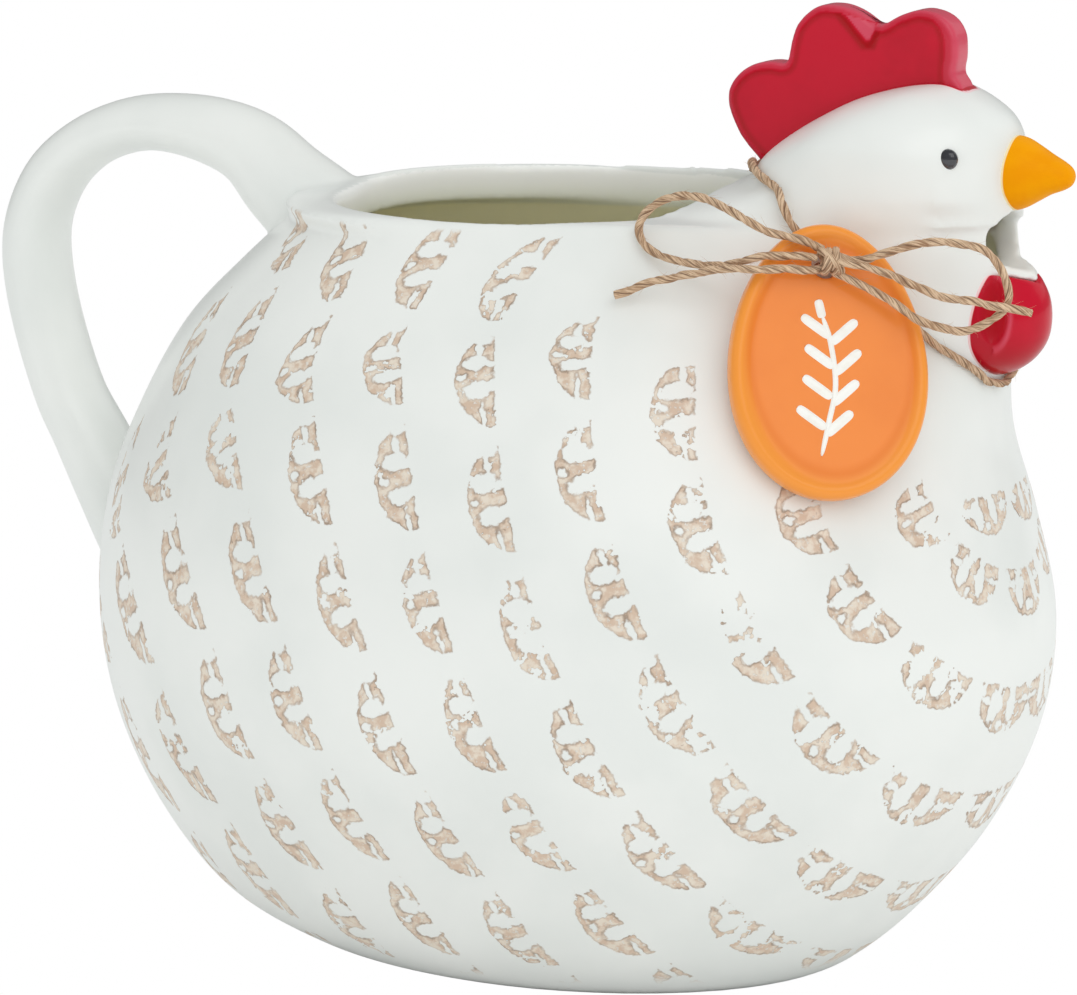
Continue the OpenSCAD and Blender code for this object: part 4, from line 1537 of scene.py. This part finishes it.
@dataclass
class Twine:
    """Plied jute: flutes between its plies turn round a route, with loose fibres. In millimetres."""

    name: str
    route: Table | list
    closed: bool = False
    seed: int = 1
    fuzz: float = 0.9
    diameter: float = 2.0
    plies: int = 2
    lay_length: float = 10.5
    sides: int = 24

    def line(self, step: float = 0.45) -> np.ndarray:
        """The centre line at even steps.

        Args:
            step: how long a step is.

        Returns:
            A row for each point.
        """
        dense = smooth_rows(self.route, 16, closed=self.closed)
        if self.closed:
            dense = np.vstack([dense, dense[:1]])
        arc = np.r_[0, np.cumsum(np.linalg.norm(np.diff(dense, axis=0), axis=1))]
        count = max(int(arc[-1] / step), 8)
        t = np.linspace(0, arc[-1], count + 1)
        out = np.stack([np.interp(t, arc, dense[:, k]) for k in range(3)], axis=1)
        return out[:-1] if self.closed else out

    def length(self) -> float:
        """How long the centre line is."""
        return float(np.linalg.norm(np.diff(self.line(), axis=0), axis=1).sum())

    def frames(self, line: np.ndarray) -> tuple[np.ndarray, np.ndarray, np.ndarray]:
        """The directions along the centre line.

        Args:
            line: the centre line.

        Returns:
            The run and two cross directions that turn as little as they can.
        """
        run = np.roll(line, -1, 0) - np.roll(line, 1, 0) if self.closed else np.gradient(line, axis=0)
        run /= np.linalg.norm(run, axis=1, keepdims=True)
        u = np.cross(run[0], [0.3, 0.2, 1.0])
        u /= np.linalg.norm(u)
        us = []
        for t in run:
            u = u - t * (u @ t)
            u /= np.linalg.norm(u)
            us.append(u)
        us = np.array(us)
        if self.closed:
            twist = math.atan2(np.cross(us[-1], us[0]) @ run[0], us[-1] @ us[0])
            fix = np.linspace(0, twist, len(line))[:, None]
            us = np.cos(fix) * us + np.sin(fix) * np.cross(run, us)
        return run, us, np.cross(run, us)

    def build(self) -> tuple[Piece, Piece]:
        """Makes the plies and the loose fibres.

        Returns:
            Both, not yet dressed.
        """
        line, length = self.line(), self.length()
        run, u, v = self.frames(line)
        turns = length / self.lay_length
        if self.closed:
            turns = max(round(turns), 1)
        s = np.linspace(0, 1, len(line), endpoint=not self.closed)
        rng = np.random.default_rng(self.seed)
        knots = np.arange(0, length + 6, 3)
        swell = 1 + 0.05 * np.interp(s * length, knots, rng.standard_normal(len(knots)).clip(-1.5, 1.2))
        a = 2 * math.pi * np.arange(self.sides)[None] / self.sides
        # The angle from the nearest flute, which turns along the twine
        ply = a - 2 * math.pi * turns * s[:, None]
        flute = np.exp(-((np.sin(self.plies * ply / 2) / 0.42) ** 2))
        size = (0.46 * self.diameter * swell[:, None] * (1.0 - 0.28 * flute))[:, :, None]
        rings = line[:, None] + size * (np.cos(a)[..., None] * u[:, None] + np.sin(a)[..., None] * v[:, None])
        obj = loft(self.name, rings, Region.ENDLESS if self.closed else Region.CAPPED)
        obj.data.shade_smooth()
        store(obj, "fibre_along", np.repeat(s * length, self.sides))
        store(obj, "fibre_around", (np.cos(ply) * 0.32 + 2).ravel())
        store(obj, "fibre_side", (np.sin(ply) * 0.32 + 2).ravel())
        store(obj, "flute", flute.ravel())
        return obj, self.hairs(line, (run, u, v), int(length * self.fuzz), rng)

    def hairs(self, line: np.ndarray, axes: tuple, count: int, rng: np.random.Generator) -> Piece:
        """Loose fibres that stand off the twine.

        Args:
            line: the centre line.
            axes: the run and the two cross directions along it.
            count: how many fibres.
            rng: the source of chance.

        Returns:
            The fibres as one object.
        """
        run, u, v = axes
        points, faces = [], []
        for _ in range(count):
            i = int(rng.integers(0, len(line)))
            a = rng.uniform(0, 2 * math.pi)
            out = math.cos(a) * u[i] + math.sin(a) * v[i]
            way = run[i] * rng.choice([-1, 1]) * rng.uniform(0.5, 1.0) + out * rng.uniform(0.1, 0.7)
            way /= np.linalg.norm(way)
            size = rng.uniform(0.8, 2.6)
            bend = rng.standard_normal(3) * 0.25
            start = line[i] + out * self.diameter * 0.42
            side = np.cross(way, out)
            side /= np.linalg.norm(side) + 1e-9
            other = np.cross(way, side)
            first = len(points)
            for j, t in enumerate((0.0, 0.35, 0.7, 1.0)):
                p = start + way * size * t + bend * size * t * t * 0.6
                w = 0.035 * (1 - 0.7 * t)
                back = p - side * w * 0.5
                points += [p + side * w, back + other * w * 0.87, back - other * w * 0.87]
                if j:
                    b = first + 3 * (j - 1)
                    faces += [(b + k, b + (k + 1) % 3, b + 3 + (k + 1) % 3, b + 3 + k) for k in range(3)]
        return mesh_object(self.name + "_fibres", np.array(points) * MM, faces)


@dataclass
class TwineBow:
    """All the jute: the neck loop, the knot and the four ends of the bow. Routes in millimetres."""

    tag: EggTag
    knot_d: float = 6.5
    # The right half of the neck loop, from the comb down to the breast
    neck: Table = (
        (30, 0, 179), (32.3, -5, 181.2), (35.1, -12, 181.7), (40.4, -20, 180.6), (46.5, -25.5, 179),
        (48.5, -28, 178.5), (50.5, -30.5, 176.5), (52, -31.8, 174.5), (53.5, -32.6, 172.5),
        (55.8, -33, 170.2), (58, -32.1, 168.4), (61, -32, 165.5), (65.5, -31, 162), (69, -30, 159),
        (72.5, -28.5, 156.5), (77, -26, 153), (80.5, -23.5, 149), (83, -21, 146),
        (85.5, -17.5, 143.5), (87, -14.5, 141.5), (88.5, -10.5, 139), (89, -7.5, 137),
        (89.5, -3.5, 136), (90, 0, 135.5),
    )
    loop_rear: Table = (
        (65.5, -42.5, 168.5), (62, -44.5, 170.5), (58, -46, 171.5), (54.5, -47.5, 172.5),
        (50.5, -49.5, 175), (45, -48, 177), (39.5, -46.5, 178.5), (33.5, -45, 178.5),
        (28.5, -44.5, 177), (24.5, -44, 174), (23, -44, 170.5), (25.5, -46, 167.5),
        (30.5, -47.5, 165.5), (39, -48.5, 164.5), (46, -50, 165), (51.5, -51.5, 166.5),
        (55, -50, 167.5), (58.5, -48.5, 167.5), (62, -46.5, 167.5), (65, -44.5, 167),
    )
    tail_rear: Table = (
        (65.5, -43.5, 164.5), (63.5, -46.5, 164.5), (60.5, -49, 165), (57.5, -51.5, 165),
        (54.5, -53.5, 165), (50.5, -53.5, 165), (46.5, -53, 164.5), (43.5, -52.5, 164),
        (40, -52, 163), (37, -52, 162.5), (34, -52, 161.5), (31, -52, 161), (28, -52.5, 160),
        (25, -53, 158.5), (22, -54, 157.5),
    )
    loop_front: Table = (
        (68.5, -41, 167), (71, -40.5, 166.5), (74, -39.5, 166.5), (76.5, -38, 167.5),
        (79.5, -36.5, 168.5), (82.5, -34.5, 169.5), (85.5, -32, 170), (88, -30, 170),
        (91, -28, 169.5), (95, -24.5, 168), (98, -22.5, 164), (99.5, -21.5, 159), (99, -22, 155.5),
        (96, -24.5, 152.5), (92.5, -29, 151), (88.5, -32.5, 152), (84.5, -36, 154),
        (80, -38, 157.5), (75, -40, 160.5), (71, -41.5, 162.5), (68, -42.5, 164),
    )
    tail_front: Table = (
        (69, -44, 166.5), (72, -43.5, 166), (75, -42, 165.5), (78, -41, 164.5), (80.5, -39.5, 163.5),
        (83, -38, 162), (86, -36, 160.5), (88.5, -34, 159), (91.5, -31, 158), (94.5, -28.5, 157.5),
        (97, -26.5, 156.5), (99.5, -24.5, 156), (101.5, -23, 155.5), (103, -21.5, 155),
        (104.5, -20.5, 154.5),
    )
    # The knot's wraps: their shift aside, their tilt, and their half sizes up and out
    wraps: Table = ((-0.9, 0.25, 2.1, 1.9), (0.9, 0.1, 2.2, 1.9), (0.0, -0.9, 2.3, 2.0))

    @staticmethod
    def jute() -> bpy.types.Material:
        """Makes natural jute with streaks along its fibres.

        Returns:
            The material.
        """
        material, g = JUTE.start()
        add = g.add
        names = ("fibre_along", "fibre_around", "fibre_side", "flute")
        along, around, side, flute = (add(Op.STORED, attribute_name=name) for name in names)
        # A streak is about 0.4 mm wide and 3 mm long, coarser than a real fibre, so that it shows
        parts = ((along, 0.30), (around, 7.0), (side, 7.0))
        fibre = add(Op.VECTOR, *(add(Op.TIMES, part, scale) for part, scale in parts))
        streak = add(Op.NOISE, fibre, 1.0, 3, 0.65)
        colour = add(Op.BLEND, add(Op.STEP, streak, 0.36, 0.62), "9C775A", "E6C8A8")
        patch = add(Op.NOISE, add(Op.PLACE), grain(11.111), 2)
        colour = add(Op.BLEND, add(Op.STEP, patch, 0.4, 0.7, 0.0, 0.3), colour, "B48C68")
        # Painted shade in the flutes between the plies
        colour = add(Op.BLEND, add(Op.STEP, flute, 0.55, 1.0, 0.0, 0.85), colour, "6F523D")
        normal = add(Op.BUMP, Height=streak, Distance=0.25 * MM, Strength=0.8)
        JUTE.close(g, {"Base Color": colour, "Normal": normal})
        return material

    def build(self) -> list[Piece]:
        """Makes every stretch of the twine.

        Returns:
            The pieces, dressed.
        """
        material = self.jute()
        route = list(self.neck) + [(x, -y, z) for x, y, z in self.neck[-2:0:-1]]
        loop, hairs = Twine("twine_neck", route, closed=True, seed=5).build()
        dress(loop, material, Slot.JUTE, Body.PITCHER, "twine_neck_loop")
        dress(hairs, material, Slot.JUTE, Body.PITCHER)
        return [loop, hairs, *self.ends(material), *self.knot(material)]

    def ends(self, material: bpy.types.Material) -> list[Piece]:
        """Makes the bow's two loops and two tails.

        Args:
            material: the jute.

        Returns:
            The pieces.
        """
        pieces = []
        for node, route, far_end, seed in (
            ("twine_loop_rear", self.loop_rear, FarEnd.KNOT, 11),
            ("twine_tail_rear", self.tail_rear, FarEnd.BARE, 12),
            ("twine_loop_front", self.loop_front, FarEnd.KNOT, 13),
            ("twine_tail_front", self.tail_front, FarEnd.BARE, 14),
        ):
            twine = Twine(node + "_visual", route, seed=seed)
            obj, hairs = twine.build()
            dress(obj, material, Slot.JUTE, Body.PITCHER, node)
            dress(hairs, material, Slot.JUTE, Body.PITCHER)
            [c * MM for c in route[0]]
            twine.length() * MM
            (twine.line() * MM).tolist()
            pieces += [obj, hairs]
        return pieces

    def knot(self, material: bpy.types.Material) -> list[Piece]:
        """Makes the knot's wraps and the strands through the tag's hole.

        Args:
            material: the jute.

        Returns:
            The pieces.
        """
        hole, right, up, front = self.tag.axes()
        middle = hole + front * (self.tag.thick + self.knot_d * 0.56)
        a = round_angles(12)[:, None]
        pieces = []
        for index, (shift, tilt, wide, deep) in enumerate(self.wraps):
            ring = middle + right * shift + up * wide * np.cos(a) + front * deep * np.sin(a)
            ring = ring + right * tilt * wide * np.cos(a)
            route = [tuple(p) for p in ring]
            pieces += Twine(f"twine_wrap_{index + 1}", route, closed=True, seed=20 + index, fuzz=1.5).build()
        for index, way in enumerate((-1, 1)):
            start = hole - front * 0.6 + right * 0.55 * way
            route = [tuple(start + front * d) for d in (0.0, 2.0, 4.0, 6.0, 7.6)]
            pieces += Twine(f"twine_strand_{index + 1}", route, seed=30 + index, fuzz=0.2).build()
        stands_for = {"twine_wrap_1": ("twine_knot",), "twine_strand_1": ("twine_stem",)}
        for piece in pieces:
            body = Body.STRANDS if "strand" in piece.name else Body.PITCHER
            dress(piece, material, Slot.JUTE, body, *stands_for.get(piece.name, ()))
        return pieces


@dataclass
class Studio:
    """The camera of the photo, soft lights, a pale floor and a white background, in metres."""

    azimuth: float = 26.0
    elevation: float = 10.0
    distance: float = 1.6
    target: tuple[float, float, float] = (-0.0224, 0.0, 0.1016)
    pixel: float = 0.2245e-3
    width: int = 1077
    height: int = 995
    sensor: float = 36.0

    @staticmethod
    def place(name: str, data: bpy.types.ID, at: Vector, way: Vector) -> Piece:
        """Puts a camera or a light in the scene.

        Args:
            name: the object's name.
            data: the camera or the light.
            at: its place.
            way: where it faces.

        Returns:
            The object.
        """
        obj = bpy.data.objects.new(name, data)
        bpy.context.scene.collection.objects.link(obj)
        obj.location = at
        obj.rotation_mode = "QUATERNION"
        obj.rotation_quaternion = way.to_track_quat("-Z", "Y")
        return obj

    def camera(self) -> None:
        """Puts the camera where the photographer stood."""
        a, e = math.radians(self.azimuth), math.radians(self.elevation)
        back = Vector((math.sin(a) * math.cos(e), -math.cos(a) * math.cos(e), math.sin(e)))
        data = bpy.data.cameras.new("camera")
        data.sensor_width = self.sensor
        data.lens = self.sensor * self.distance / (self.width * self.pixel)
        data.clip_start, data.clip_end = 0.05, 30
        scene = bpy.context.scene
        scene.camera = self.place("camera", data, Vector(self.target) + back * self.distance, -back)
        scene.render.resolution_x, scene.render.resolution_y = self.width, self.height

    def light(self, name: str, at: tuple, size: float, power: float) -> None:
        """Adds one soft square light that faces the pitcher.

        Args:
            name: the light's name.
            at: its place.
            size: the length of its side.
            power: its power in watts.
        """
        data = bpy.data.lights.new(name, "AREA")
        data.shape, data.size, data.energy = "SQUARE", size, power
        obj = self.place(name, data, Vector(at), Vector((0, 0, 0.1)) - Vector(at))
        obj.visible_camera = False

    def build(self) -> None:
        """Makes the floor, the lights and the world."""
        floor = mesh_object("floor", [(-4, -4, 0), (4, -4, 0), (4, 4, 0), (-4, 4, 0)], [(0, 1, 2, 3)])
        material = bpy.data.materials.new("white_floor")
        g = fresh_graph(material)
        camera = g.add(Op.RAY).node.outputs["Is Camera Ray"]
        g.add(Op.SURFACE, g.add(Op.MIX, camera, g.add(Op.MATTE, "FDFDFD"), g.add(Op.GLOW, "FFFFFF", 1.0)))
        floor.data.materials.append(material)
        self.light("key", (1.2, -1.3, 1.5), 1.6, 9)
        self.light("rim", (0.9, 1.3, 1.1), 1.4, 3)
        world = bpy.data.worlds.new("studio")
        bpy.context.scene.world = world
        g = fresh_graph(world)
        rays = g.add(Op.RAY).node.outputs
        seen = g.add(Op.MOST, rays["Is Camera Ray"], rays["Is Transmission Ray"])
        dim = g.add(Op.SCALE, rays["Is Glossy Ray"], **{"To Min": 0.88, "To Max": 0.2})
        soft, white = g.add(Op.SKY, "F2F5F4", dim), g.add(Op.SKY, "FFFFFF", 1.0)
        g.add(Op.WORLD, g.add(Op.MIX, seen, soft, white))
        bpy.context.scene.view_settings.view_transform = "Standard"


def main() -> None:
    """Builds the whole scene in order and reports each piece."""
    logging.basicConfig(level=logging.INFO, format="%(message)s")
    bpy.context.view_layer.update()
    studio, tag = Studio(), EggTag()
    studio.camera()
    pieces = TwineBow(tag).build()
    body = Pitcher().build()
    pieces += [body, *HeadPieces().build(body), *tag.build()]
    studio.build()
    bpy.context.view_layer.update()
    for piece in pieces:
        LOG.info("made %s", piece.name)


if __name__ == "__main__":
    main()
